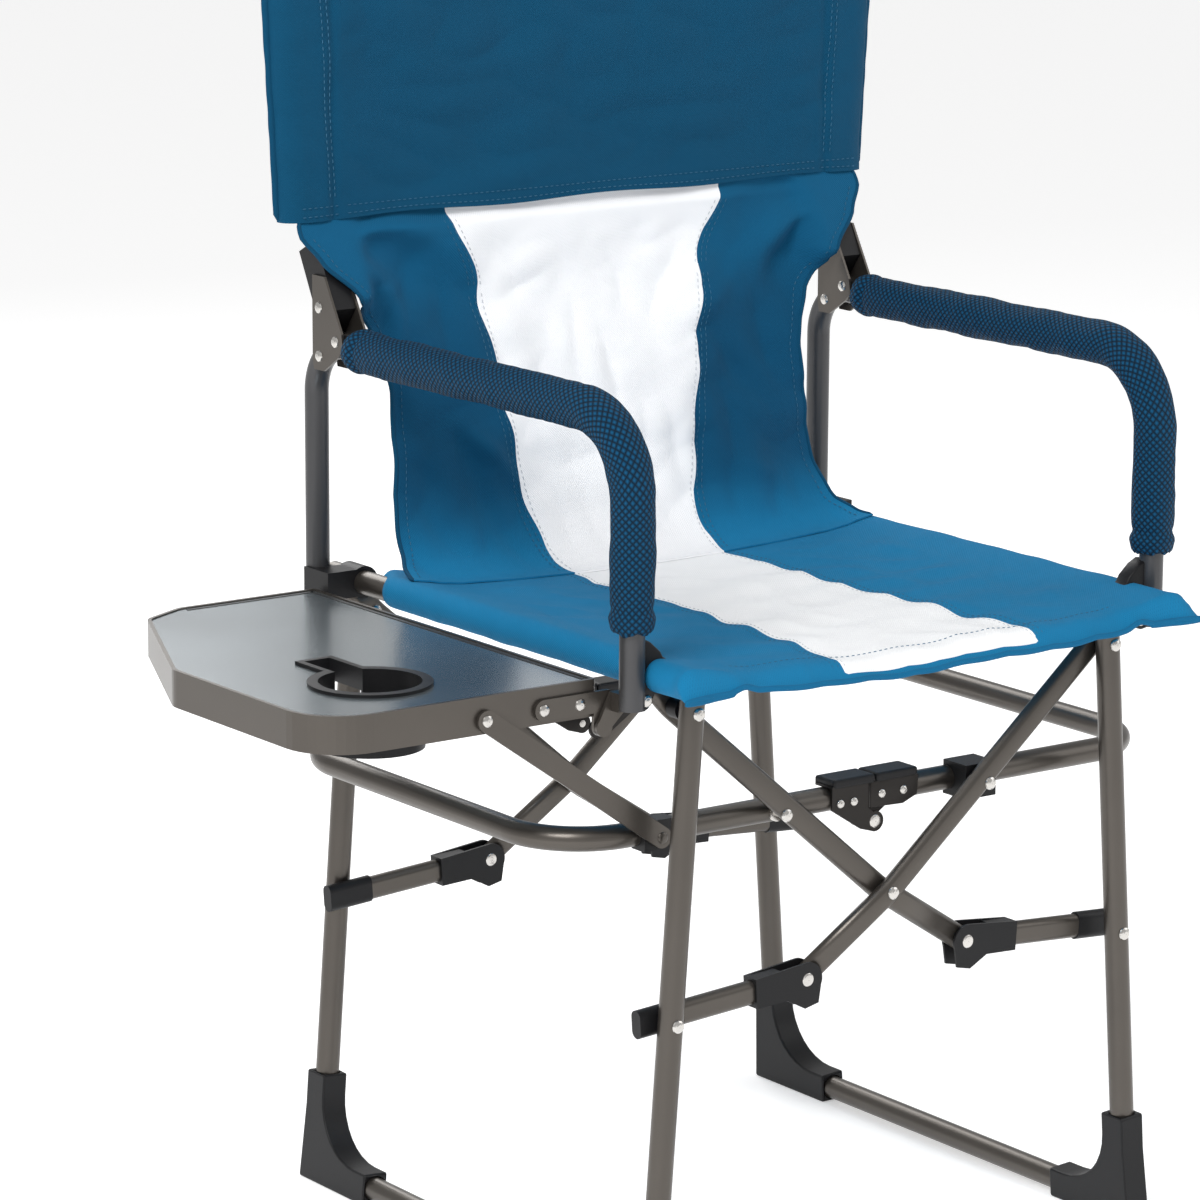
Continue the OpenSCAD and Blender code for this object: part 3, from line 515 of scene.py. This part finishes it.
# ---------------------------------------------------------------- seat cloth
RAIL_X, RAIL_Z, RS = 228.0, 506.0, 11.9  # the rails, and the radius of the sleeves round them
SEAT_F, SEAT_R = -275.0, 146.0  # front and rear edge
SEAT_Z, SAG, SAG_HALF = 511.5, 7.0, 200.0  # height beside the rails, and the sag between them
HEM_WHITE = 6  # the white panel stops this far behind the front edge


def seat_height(x):
    return SEAT_Z - SAG * (1 - (x / SAG_HALF) ** 2)


def seat_white(y):
    """Half width of the white panel on the seat."""
    wide = 77 + 14 * smooth((-60 - y) / 200)
    return wide + 2.0 * math.sin(y / 23.0) + 1.2 * math.sin(y / 9.0 + 1)


def seat_section(y):
    """Cross-section of the cloth from the left sleeve's hem over the seat to the right one's."""
    left = [(-198.0, 504.6), (-212.0, 499.0)]
    for k in range(15):
        a = math.radians(285 - k * 195 / 14)
        left.append((-RAIL_X + RS * math.cos(a), RAIL_Z + RS * math.sin(a)))
    left += [(-214.0, 515.6), (-200.0, 512.6)]
    mid = [(x, seat_height(x)) for x in range(-180, 181, 12)]
    right = [(-x, z) for x, z in reversed(left)]
    return left + mid + right


def seat_point(x, z, y):
    """Adds the wrinkles, the rolled front hem and the slack front corners."""
    inner = smooth((205 - abs(x)) / 30)
    ridges = 0.4 - abs(bumps(x, y * 0.8, 0, 44, 7.7)) * 2
    n = bumps(x * 0.6, y * 1.8, 0, 62, 3.1) * 3.4 + ridges * 1.8
    pull = math.sin(y / 17.0 + 2.5 * bumps(0, y, 0, 90, 1.0)) * 1.3 * smooth((abs(x) - 120) / 90)
    calm = 1 - smooth((y - 62) / 26)
    z += (n + pull) * (0.25 + 0.75 * inner) * calm
    lip = smooth((SEAT_F + 24 - y) / 24)
    z -= 12.5 * lip * lip * inner
    ripple = bumps(x, 0, 0, 40, 5.0) * 2.0
    tip = smooth((SEAT_F + 10.5 - y) / 9.5)
    slack = (1 - inner) * smooth((SEAT_F + 30 - y) / 30)
    outer = max(0.0, (abs(x) - 218) / 22)
    x += (1 if x > 0 else -1) * 7 * slack * slack * outer
    z += (498.0 + 0.07 * (z - RAIL_Z) - z) * tip * (1 - inner) * 0.98
    rear = smooth((y - (SEAT_R - 26)) / 26)
    x -= x * 0.055 * rear
    return x, y + ripple * lip - 5.0 * outer * tip * (1 - inner), z


rows, uvs, sds = [], [], []
NV, NU = 120, 170
for j in range(NV):
    y = SEAT_F + (SEAT_R - SEAT_F) * (j / (NV - 1))
    section, width = even(seat_section(y), NU)
    row, ruv, rsd = [], [], []
    for i, (x, z) in enumerate(section):
        row.append(W(*seat_point(x, z, y)))
        ruv.append(((i / (NU - 1) - 0.5) * width / 1000, y / 1000))
        on_top_side = 2 < i < NU - 3 and z > 500
        inside = min(seat_white(y) - abs(x), y - SEAT_F - HEM_WHITE) / 1000
        rsd.append(inside if on_top_side else -1.0)
    rows.append(row)
    uvs.append(ruv)
    sds.append(rsd)
seat = grid("seat_cloth_panel", rows, M_SEAT, uvs, sds)
CLOTH_T = 0.0013
thicken(seat, CLOTH_T)
front = [seat_point(x, z, SEAT_F) for x, z in even(seat_section(SEAT_F), NU)[0]]
hem = rope("seat_hem_front", front, 2.3, M_HEM, flat=0.8)


def on_seat(x, y):
    """Point just above the seat cloth, and the way up from it."""
    px, py, pz = seat_point(x, seat_height(x), y)
    return (px, py, pz + 0.7), (0, 0, 1)


SEAM_OFF = (3.0, 8.0)  # the blue stitch lines beside a white panel; the white ones are as far in
STEP = 4  # spacing of the points of a stitch line
lines = []
for s in (-1, 1):
    for off in SEAM_OFF:
        lines.append([on_seat(s * (seat_white(y) + off), y) for y in range(-266, 140, STEP)])
    for off in (196, 190):
        lines.append([on_seat(s * off, y) for y in range(-262, 138, STEP)])
lines.append([on_seat(x, -246) for x in range(-196, 197, STEP)])
seat_thread = stitches("seat_stitches", lines, M_THREAD)
w_lines = [[on_seat(s * (seat_white(y) - SEAM_OFF[0]), y) for y in range(-266, 140, STEP)]
           for s in (-1, 1)]
seat_thread_w = stitches("seat_stitches_white", w_lines, M_THREAD_W)
for o in (seat, seat_thread, seat_thread_w, hem):
    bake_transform(o)
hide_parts("seat_fabric")

# ---------------------------------------------------------------- back cloth, lower panel
# From FLOOR_P to TURN_P the parameter p follows the bend out of the seat; above TURN_P it is the
# height. At CUT_P, the hinge line, the cloth is made as two pieces, and TOP_P is its top edge.
FLOOR_P, TURN_P, CUT_P, TOP_P = 477.0, 600.0, 726.0, 808.0
SEAT_Y = 98.0  # where the cloth starts on the seat
# Tables over p: half width, half width of the white panel, depth at the posts, bulge at the middle
HALF = [(477, 228), (500, 223), (530, 213), (600, 203), (656, 199), (700, 212), (735, 236),
        (762, 262), (782, 275), (791, 274), (800, 266), (812, 262)]
WHITE = [(477, 75), (530, 79), (605, 92), (665, 101), (730, 109), (788, 133), (812, 138)]
DEPTH = [(600, 161), (665, 168), (730, 182), (790, 186), (812, 186.5)]
BOWL = [(600, -3), (680, 7), (740, 5), (790, 1), (812, 0)]
# Height of the seat cloth over the distance from the middle
SEAT_TOP = [(0, 504.5), (60, 505.1), (120, 507.0), (180, 510.4), (200, 512.8), (214, 516.0),
            (229, 518.4)]
# Creases: from x, p to x, p, then width and height
CREASES = [(-142, 626, -72, 560, 8, -5.0), (-142, 626, -108, 522, 9, 4.0),
           (-190, 600, -150, 560, 10, 2.6), (-40, 700, 30, 610, 12, -2.6),
           (20, 745, 70, 640, 13, 2.4), (-20, 600, 50, 545, 11, -2.2),
           (120, 700, 175, 745, 9, -2.8), (130, 650, 185, 600, 10, 2.6),
           (125, 575, 190, 540, 10, -2.6)]
KNUCKLE_X, KNUCKLE_Z = 250, 775  # the folds fan out from here on each side


def crease(x, z):
    """Soft folds of the back panel, each along its own line."""
    total = 0.0
    for x0, z0, x1, z1, width, height in CREASES:
        dx, dz = x1 - x0, z1 - z0
        t = ((x - x0) * dx + (z - z0) * dz) / (dx * dx + dz * dz)
        u = max(0.0, min(1.0, t))
        d = math.hypot(x - x0 - u * dx, z - z0 - u * dz)
        ends = 0.35 + 0.65 * math.sin(math.pi * min(1, u + 0.15))
        total += height * math.exp(-(d / width) ** 2) * ends
    return total


def back_point(s, p):
    """Point of the lower back panel: s runs from -1 to 1 across, p up the cloth in millimetres."""
    x = s * interp(HALF, p)
    y = interp(DEPTH, p) + interp(BOWL, p) * (1 - s * s)
    z, turn = p, math.pi / 2
    if p < TURN_P:
        turn *= (p - FLOOR_P) / (TURN_P - FLOOR_P)
        y = SEAT_Y + (y - SEAT_Y) * math.sin(turn)
        z = TURN_P - (TURN_P - interp(SEAT_TOP, abs(x)) - 1.5) * math.cos(turn)
    fold = 0.0
    for cx in (-1, 1):
        dx, dz = x - cx * KNUCKLE_X, p - KNUCKLE_Z
        r = math.hypot(dx, dz)
        a = math.atan2(-dz, -cx * dx)
        fade = math.exp(-((r - 70) / 75) ** 2) * smooth((812 - p) / 30)
        folds = math.sin(a * 8.0 + 1.1 * math.sin(r / 26) + cx)
        fold += 5.2 * (folds - 0.35 * folds * folds) * fade
    calm = smooth((792 - p) / 50)
    fold += bumps(x, p * 0.7, 0, 70, 11.0) * 7.0 * calm
    fold += (0.5 - abs(bumps(x + p * 0.6, p * 0.4 - x, 0, 52, 2.0)) * 2) * 3.6 * calm
    fold += (0.5 - abs(bumps(x * 0.7 - p * 0.5, p * 0.9, 0, 38, 15.0)) * 2) * 2.1 * calm
    fold += crease(x, p) * calm
    fold += 6.5 * smooth((p - 780) / 10)
    fold *= smooth((p - FLOOR_P - 4) / 60)
    y += fold * math.sin(turn)
    z -= fold * math.cos(turn) * 0.6
    # In front of the hinge plates and knuckles the cloth is drawn forward
    near = smooth((abs(x) - 206) / 22) * smooth((p - 712) / 24)
    y += (min(188.9, 154.6 + (p - 726.3) * 0.519) - y) * near
    return x, y, z


NS = 110  # points across the lower back


def back_sheet(name, p0, p1, count):
    """The cloth from p0 to p1 as its own sheet, and its two side edges."""
    rows, uvs, sds, tones, rim = [], [], [], [], {-1: [], 1: []}
    for j in range(count):
        p = p0 + (p1 - p0) * j / (count - 1)
        row, ruv, rsd = [], [], []
        for i in range(NS):
            s = -1 + 2 * i / (NS - 1)
            x, y, z = back_point(s, p)
            row.append(W(x, y, z))
            ruv.append((x / 1000, p / 1000))
            rsd.append((interp(WHITE, p) + 1.5 * math.sin(p / 11.0) - abs(x)) / 1000)
        rows.append(row)
        uvs.append(ruv)
        sds.append(rsd)
        # Painted light and shade: painted lit next to the seat and faintly from p 690 up, painted
        # shaded in the bend between
        painted_light = 1 - smooth((p - 492) / 92) + 0.22 * smooth((p - 690) / 60)
        tones.append([painted_light] * NS)
        for s in (-1, 1):
            rim[s].append(back_point(s, p))
    o = grid(name, rows, M_BACK, uvs, sds, painted_light=tones)
    thicken(o, CLOTH_T)
    return o, rim


def on_back(x, p, out=1.1):
    """Point just in front of the lower back, and the way out from it."""
    px, py, pz = back_point(x / interp(HALF, p), p)
    turn = math.pi / 2 * min(1.0, (p - FLOOR_P) / (TURN_P - FLOOR_P))
    n = (0, -math.sin(turn), math.cos(turn))
    return (px, py + n[1] * out, pz + n[2] * out), n


lower, lower_rim = back_sheet("back_lower_panel", FLOOR_P, CUT_P, 116)
back, upper_rim = back_sheet("back_cloth_panel", CUT_P, TOP_P, 40)
parts = {}
for key, p0, p1, rim in (("lower", 484, 726, lower_rim), ("upper", 728, 786, upper_rim)):
    lines, w_lines = [], []
    heights = range(p0, p1, STEP)
    for s in (-1, 1):
        for off in SEAM_OFF:
            lines.append([on_back(s * (interp(WHITE, p) + off), p) for p in heights])
        lines.append([on_back(s * (interp(HALF, p) - 9.0), p) for p in heights])
        w_lines.append([on_back(s * (interp(WHITE, p) - SEAM_OFF[0]), p) for p in heights])
    parts[key] = [stitches("back_stitches_" + key, lines, M_THREAD),
                  stitches("back_stitches_white_" + key, w_lines, M_THREAD_W),
                  rope("back_edge_left_" + key, rim[-1][::2] + rim[-1][-1:], 1.7, M_BIND),
                  rope("back_edge_right_" + key, rim[1][::2] + rim[1][-1:], 1.7, M_BIND)]

# ---------------------------------------------------------------- back cloth, top panel and sleeves
TOP0, TOP1 = 793.0, 985.0  # bottom and top edge
POST_Y = 199.0
SLEEVE_A, SLEEVE_B = 21.8, 11.8  # half width and half depth of a sleeve
SLEEVE_POINTS = 28  # points of a row that belong to one sleeve
FRONT_Y = POST_Y - SLEEVE_B - 0.4  # the panel's front face beside the sleeves
SEAM_IN = 26  # from a post's line in to its sleeve's seam


def post_x(z):
    """Distance of the posts' line from the middle; the posts lean outwards."""
    return 263.5 + (z - 800) * 0.055


def hollow(x, z):
    """How far the panel lies back between the sleeves."""
    return 4.5 * (1 - (x / (post_x(z) - SEAM_IN)) ** 2) * smooth((z - 790) / 60) + 1.0


def top_row(z, n):
    """Plan of the cloth at the height z: round the left post, across and round the right one."""
    xe = post_x(z)
    pts = [(-xe + 21.5, POST_Y - SLEEVE_B + 2.6), (-xe + 20, POST_Y + 3)]
    for k in range(25):
        a = math.radians(60 + k * 210 / 24)
        pts.append((-xe + SLEEVE_A * math.cos(a), POST_Y + SLEEVE_B * math.sin(a)))
    pts.append((-xe + 18, FRONT_Y))
    inner = xe - SEAM_IN
    pts += [(x, FRONT_Y + hollow(x, z)) for x in range(int(-inner), int(inner) + 1, 8)]
    pts += [(-x, y) for x, y in reversed(pts[:SLEEVE_POINTS])]
    return even(pts, n)


def top_point(x, y, z):
    """Adds the wrinkles, the puckers at the sleeve seams and the closed top of the sleeves."""
    t = smooth((z - (TOP1 - 11)) / 11)
    ridges = 0.4 - abs(bumps(x * 0.7, z * 1.5, 0, 46, 8.2)) * 2
    n = bumps(x, z, 0, 85, 4.4) * 4.6 + ridges * 2.2
    sleeve = smooth((abs(x) - 215) / 30)
    pucker = math.sin(z / 15.0 + 2.0 * bumps(x, z, 0, 50, 6.0)) * 1.1
    pucker *= math.exp(-((abs(x) - 243) / 11) ** 2)
    groove = 2.2 * math.exp(-((abs(x) - 242) / 3.2) ** 2)
    y += (n * (1 - sleeve * 0.7) + pucker) + (groove if y < POST_Y else 0)
    y += (198.5 - y) * t * 0.9 * smooth((abs(x) - 215) / 25)
    x += bumps(x, z, 5, 40, 9.0) * 1.6 * smooth((abs(x) - 270) / 15)
    dz = 1.6 * math.sin(x / 46.0) if z > TOP1 - 1 else 0
    hem = 2.0 * math.sin(x / 30.0 + 1) * smooth((TOP0 + 12 - z) / 12)
    near = smooth((TOP0 + 24 - z) / 24)
    y -= (1.5 + n * (1 - sleeve * 0.7)) * near if y < POST_Y else 0
    return x, y, z + dz * 0.6 + hem * 0.6


NT, NR, SEAM_I = 76, 240, 42  # rows, columns, and the column of the left sleeve's seam


def top_sheet(name, first, last):
    """The columns first to last of the upper panel as their own sheet."""
    rows, uvs = [], []
    for j in range(NT):
        z = TOP0 + (TOP1 - TOP0) * j / (NT - 1)
        pts, width = top_row(z, NR)
        rows.append([W(*top_point(x, y, z)) for x, y in pts[first:last + 1]])
        uvs.append([((i / (NR - 1) - 0.5) * width / 1000, z / 1000)
                    for i in range(first, last + 1)])
    o = grid(name, rows, M_TOPCLOTH, uvs)
    thicken(o, 0.0014)
    return o


top = top_sheet("back_top_panel", SEAM_I, NR - 1 - SEAM_I)
sleeves = {"left": top_sheet("back_sleeve_left", 0, SEAM_I),
           "right": top_sheet("back_sleeve_right", NR - 1 - SEAM_I, NR - 1)}


def on_top(x, z, out=1.3):
    """Point just in front of the upper back, and the way out from it."""
    y = FRONT_Y + (hollow(x, z) if abs(x) < post_x(z) - SEAM_IN else 0)
    px, py, pz = top_point(x, y, z)
    return (px, py - out, pz), (0, -1, 0)


HEM_ROWS = (4.0, 10.0)  # stitch lines above the bottom edge
lines = [[on_top(x, TOP0 + k) for x in range(-232, 233, STEP)] for k in HEM_ROWS]
lines.append([on_top(x, TOP1 - 14) for x in range(-232, 233, STEP)])
top_thread = stitches("top_stitches", lines, M_THREAD)
trim = {}
for side, sign in SIDES:
    lines = [[on_top(sign * (x0 + (z - 800) * 0.05), z) for z in range(808, 974, STEP)]
             for x0 in (240.5, 246)]
    lines += [[on_top(sign * x, TOP0 + k) for x in range(236, 277, STEP)] for k in HEM_ROWS]
    edge = []
    for k in range(41):
        z = TOP0 + 1 + (TOP1 - TOP0 - 6) * k / 40
        out = post_x(z) + 22.4 + 0.8 * bumps(0, z, 0, 18, 3.3)
        edge.append((sign * out, POST_Y, z))
    trim[side] = [stitches("sleeve_stitches_" + side, lines, M_THREAD),
                  rope("top_edge_" + side, edge, 4.2, M_BIND, flat=0.45)]

# Each back piece rides with its body, on a mesh of its own: the lower panel and its trim with the
# left arm, the rest with the left back
for o in [lower, back, top, top_thread] + parts["lower"] + parts["upper"]:
    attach(o, "arm_left" if o is lower or o in parts["lower"] else "back_left")
    if o in (top, top_thread):
        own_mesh(o)
    else:
        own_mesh(o)
for side, sign in SIDES:
    for o in [sleeves[side]] + trim[side]:
        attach(o, "back_" + side)
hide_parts("back_fabric")

# ---------------------------------------------------------------- foam arm sleeves


PAD_BEND = 0.062  # radius of the pad's centre line at the front corner


def sleeve_path(node):
    """The pad's x, radius and centre line in Y and Z: forward along the arm and down the front."""
    lo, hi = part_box(node)
    x = (lo[0] + hi[0]) / 2
    r = (hi[0] - lo[0]) / 2
    y0, y1, zt, zb = hi[1], lo[1] + r, hi[2] - r, lo[2]
    cy, cz = y1 + PAD_BEND, zt - PAD_BEND
    pts = [(y0 - (y0 - y1 - PAD_BEND) * k / 60, zt) for k in range(61)]
    for k in range(1, 25):
        a = math.pi / 2 * k / 24
        pts.append((cy - PAD_BEND * math.sin(a), cz + PAD_BEND * math.cos(a)))
    pts += [(y1, cz - (cz - zb) * k / 30) for k in range(1, 31)]
    return x, r, pts


N = 64  # points round a sleeve
for side, seed in (("left", 1.7), ("right", 5.3)):
    x, r, pts = sleeve_path("arm_pad_" + side)
    pts, total = even(pts, 260)

    def ring(i, radius, jag=0.0):
        """A slightly lumpy ring round the centre line's point i; jag frays it along the arm."""
        y, z = pts[i]
        a, b = pts[max(i - 1, 0)], pts[min(i + 1, len(pts) - 1)]
        run = Vector((0, b[0] - a[0], b[1] - a[1])).normalized()
        e1 = Vector((1, 0, 0))
        e2 = run.cross(e1)
        out = []
        for k in range(N):
            q = 2 * math.pi * k / N
            lump = noise.noise(Vector((math.cos(q) * 1.1 + seed, math.sin(q) * 1.1, i / 17.0)))
            fine = noise.noise(Vector((seed, min(q, 2 * math.pi - q) * 0.5, i / 5.0)))
            fray = noise.noise(Vector((q * 3.0, seed, 0.5))) * jag
            way = e1 * math.cos(q) + e2 * math.sin(q)
            reach = radius + lump * 0.0011 + fine * 0.0005
            out.append(Vector((x, y, z)) + way * reach + run * fray)
        return out

    def flat_ring(s):
        """The ring's flat coordinates, at the length s along the arm."""
        return [(2 * math.pi * r * k / N, s) for k in range(N)]

    count = len(pts)
    inner = r * 0.60
    rows = [ring(2, inner), ring(0, inner + 0.003, 0.003)]
    uvs = [flat_ring(-0.008), flat_ring(-0.004)]
    for i in range(count):
        s = total * i / (count - 1)
        e = min(s, total - s)
        hem = (0.0010 * math.exp(-((e - 0.010) / 0.0035) ** 2)
               - 0.0012 * math.exp(-((e - 0.017) / 0.003) ** 2))
        taper = 1 - 0.17 * math.exp(-e / 0.0016)
        rows.append(ring(i, r * 0.985 * taper + hem, 0.003 if i in (0, count - 1) else 0.0))
        uvs.append(flat_ring(s))
    rows += [ring(count - 1, inner + 0.003, 0.002), ring(count - 3, inner)]
    uvs += [flat_ring(total + 0.004), flat_ring(total + 0.008)]
    pad = grid("arm_sleeve_" + side, rows, M_SLEEVE, uvs, close=True)
    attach(pad, "arm_" + side)
    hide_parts("arm_pad_" + side)

# ---------------------------------------------------------------- arm ears, loop and small rivets
# A rivet head's outline: shares of its radius and of its height
DOME = ((1.0, 0.0), (1.0, 0.25), (0.86, 0.62), (0.60, 0.9), (0.5, 0.86), (0.42, 0.95), (0.02, 1.0))


def dome_y(name, at, r, rise, body, way=-1):
    """A low domed rivet head on a face that looks along Y, with a ring round it."""
    rows = []
    for rr, h in DOME:
        row = []
        for q in (2 * math.pi * j / 24 for j in range(24)):
            out = (math.cos(q) * rr * r, way * h * rise, math.sin(q) * rr * r)
            row.append(Vector(at) + Vector(out))
        rows.append(row)
    o = grid(name, rows, M_STEEL, close=True)
    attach(o, body)


def from_bmesh(name, bm, mat):
    """The mesh of bm, which is freed, as an object with one material."""
    me = bpy.data.meshes.new(name)
    bm.to_mesh(me)
    bm.free()
    me.materials.append(mat)
    return place(name, me)


def box_mesh(name, lo, hi, mat, body, width):
    """A box from corner to corner in metres, with rounded edges."""
    bm = bmesh.new()
    bmesh.ops.create_cube(bm, size=1.0)
    for v in bm.verts:
        v.co = Vector([(lo[i] + hi[i]) / 2 + v.co[i] * (hi[i] - lo[i]) for i in range(3)])
    bmesh.ops.bevel(bm, geom=bm.edges[:], offset=width, segments=3, profile=0.5, affect="EDGES")
    o = from_bmesh(name, bm, mat)
    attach(o, body)


def plate_y(name, outline, y0, y1, mat, body, width):
    """A moulded plate: an outline in X and Z between two Y planes, edges rounded."""
    bm = bmesh.new()
    low = [bm.verts.new(W(x, y0, z)) for x, z in outline]
    high = [bm.verts.new(W(x, y1, z)) for x, z in outline]
    bm.faces.new(low)
    bm.faces.new(high[::-1])
    for i in range(len(outline)):
        k = (i + 1) % len(outline)
        bm.faces.new((low[i], high[i], high[k], low[k]))
    bmesh.ops.recalc_face_normals(bm, faces=bm.faces)
    sharp = [e for e in bm.edges if e.calc_face_angle(0) > math.radians(50)]
    bmesh.ops.bevel(bm, geom=sharp, offset=width, segments=3, profile=0.5, affect="EDGES")
    o = from_bmesh(name, bm, mat)
    o.data.polygons.foreach_set("use_smooth", [True] * len(o.data.polygons))
    o.data.set_sharp_from_angle(angle=math.radians(35))
    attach(o, body)
    return o


# Outline of the left ear: a boss round the seat rail, with a shoulder above it and a tongue
# below. The right ear is its mirror image.
EAR_R = 13.2
EAR = [(-251, 534), (-243, 535), (-235, 531), (-226, 523)]
EAR += [(-RAIL_X + EAR_R * math.cos(math.radians(a)), RAIL_Z + EAR_R * math.sin(math.radians(a)))
        for a in range(70, -100, -14)]
EAR += [(-233, 487), (-236, 481.6), (-240, 479.6), (-245, 480.4), (-248.4, 484), (-251, 492)]
EAR_Y0, EAR_Y1 = -220.6, -206.6
for side, sign in SIDES:
    outline = [(-sign * x, z) for x, z in EAR]
    ear = plate_y("arm_ear_" + side, outline, EAR_Y0, EAR_Y1, M_BLACK, "arm_" + side,
                  0.0016)
    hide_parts("front_bracket_" + side)
    dome_y("ear_rivet_" + side, W(sign * 238.6, EAR_Y0 - 0.2, 487.5), 0.0046, 0.0022,
           "arm_" + side)

LOOP_Y = 180.2  # distance of the loop's front and rear hinges from the middle
LEAF_Y, COVER_Y = 191.75, 191.7  # outer faces of the leaves and of the cover plates
RIVET_R, RIVET_H = 0.0036, 0.0018
for side, sign in SIDES:
    hinge_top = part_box("loop_hinges_" + side)[1][2]
    leaves = frame["nodes"]["loop_hinges_" + side].data
    leaves.materials.clear()
    leaves.materials.append(M_HINGE)
    loop = "loop_" + side
    x0, x1 = sorted((W(sign * 0.7, 0, 0)[0], W(sign * 41, 0, 0)[0]))
    p0, p1 = sorted((W(sign * 22.5, 0, 0)[0], W(sign * 25, 0, 0)[0]))
    for end, way in (("front", -1), ("rear", 1)):
        y = way * LOOP_Y
        a, b = W(0, y - 12.2, 0)[1], W(0, y + 12.2, 0)[1]
        box_mesh("loop_grip_%s_%s" % (end, side), (x0, a, hinge_top - 0.0024),
                 (x1, b, hinge_top + 0.0050), M_BLACK, loop, 0.0022)
        a, b = W(0, y - 7.5, 369), W(0, y + 7.5, 384)
        box_mesh("loop_plug_%s_%s" % (end, side), (p0, a[1], a[2]), (p1, b[1], b[2]), M_BLACK,
                 loop, 0.001)
        if side == "left":
            for k, x in enumerate((-21, -34)):
                dome_y("leaf_rivet_%s_%d" % (end, k), W(x, way * LEAF_Y, 374), RIVET_R, RIVET_H,
                       loop, way)
COVER = [(-4.5, 366.8), (27, 365.6), (41, 371), (42, 387), (-4.5, 387)]
COVER_IN = 189.4
plate_y("loop_cover_front", COVER, -COVER_Y, -COVER_IN, M_HINGE, "loop_right",
        0.0006)
plate_y("loop_cover_rear", COVER, COVER_IN, COVER_Y, M_HINGE, "loop_right", 0.0006)
for k, x in enumerate((6, 27)):
    dome_y("tube_rivet_%d" % k, W(x, -COVER_Y, 376.5), RIVET_R, RIVET_H, "loop_right")

# ---------------------------------------------------------------- table details
lo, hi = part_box("table_top")
tz = hi[2]


def strip(name, a, b, w, h, mat, body):
    """A flat strip w wide and h high along the line from a to b."""
    a, b = Vector(a), Vector(b)
    side = (b - a).normalized().cross(Vector((0, 0, 1))) * w / 2
    up = Vector((0, 0, h))
    v = [a - side, a + side, b + side, b - side]
    v += [p + up for p in v]
    faces = [(3, 2, 1, 0), (4, 5, 6, 7), (0, 1, 5, 4), (1, 2, 6, 5), (2, 3, 7, 6), (3, 0, 4, 7)]
    o = make(name, v, faces, mat, rounded=False)
    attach(o, body)


# Painted shade where the rim meets the table top: thin dark strips along its side and rear edges
SHADE_W, SHADE_H = 0.003, 0.0004
strip("table_rim_shade_side", (hi[0] - 0.0035, lo[1] + 0.004, tz), (hi[0] - 0.0035, hi[1] - 0.003, tz),
      SHADE_W, SHADE_H, M_RIM_SHADE, "table")
strip("table_rim_shade_rear", (hi[0] - 0.002, hi[1] - 0.0045, tz), (hi[0] - 0.118, hi[1] - 0.0045, tz),
      SHADE_W, SHADE_H, M_RIM_SHADE, "table")

# ---------------------------------------------------------------- floor and light
bpy.ops.mesh.primitive_plane_add(size=30, location=(0, 0, -0.0005))
floor = bpy.context.object
floor.name = "floor"
m, nt, p = material("floor_paint")
p.inputs["Base Color"].default_value = (0.86, 0.86, 0.86, 1)
p.inputs["Roughness"].default_value = 0.7
p.inputs["Emission Color"].default_value = (1, 1, 1, 1)
p.inputs["Emission Strength"].default_value = 0.42
floor.data.materials.append(m)


def area(name, loc, size, power, target=(0, 0, 0.45)):
    """A square lamp at loc that shines at target."""
    lamp = bpy.data.lights.new(name, "AREA")
    lamp.energy = power
    lamp.size = size
    o = place(name, lamp)
    o.location = loc
    o.rotation_euler = (Vector(target) - Vector(loc)).to_track_quat("-Z", "Y").to_euler()


area("key", (-2.6, -1.6, 3.0), 1.6, 105)
area("fill", (3.0, -1.8, 2.0), 2.4, 26)
area("rear", (0.6, 3.0, 2.6), 2.0, 50)
world = bpy.data.worlds.new("world")
bpy.context.scene.world = world
world.use_nodes = True
bg = world.node_tree.nodes["Background"]
bg.inputs[0].default_value = (1, 1, 1, 1)
bg.inputs[1].default_value = 0.55
bpy.context.scene.view_settings.view_transform = "Standard"

write_size()
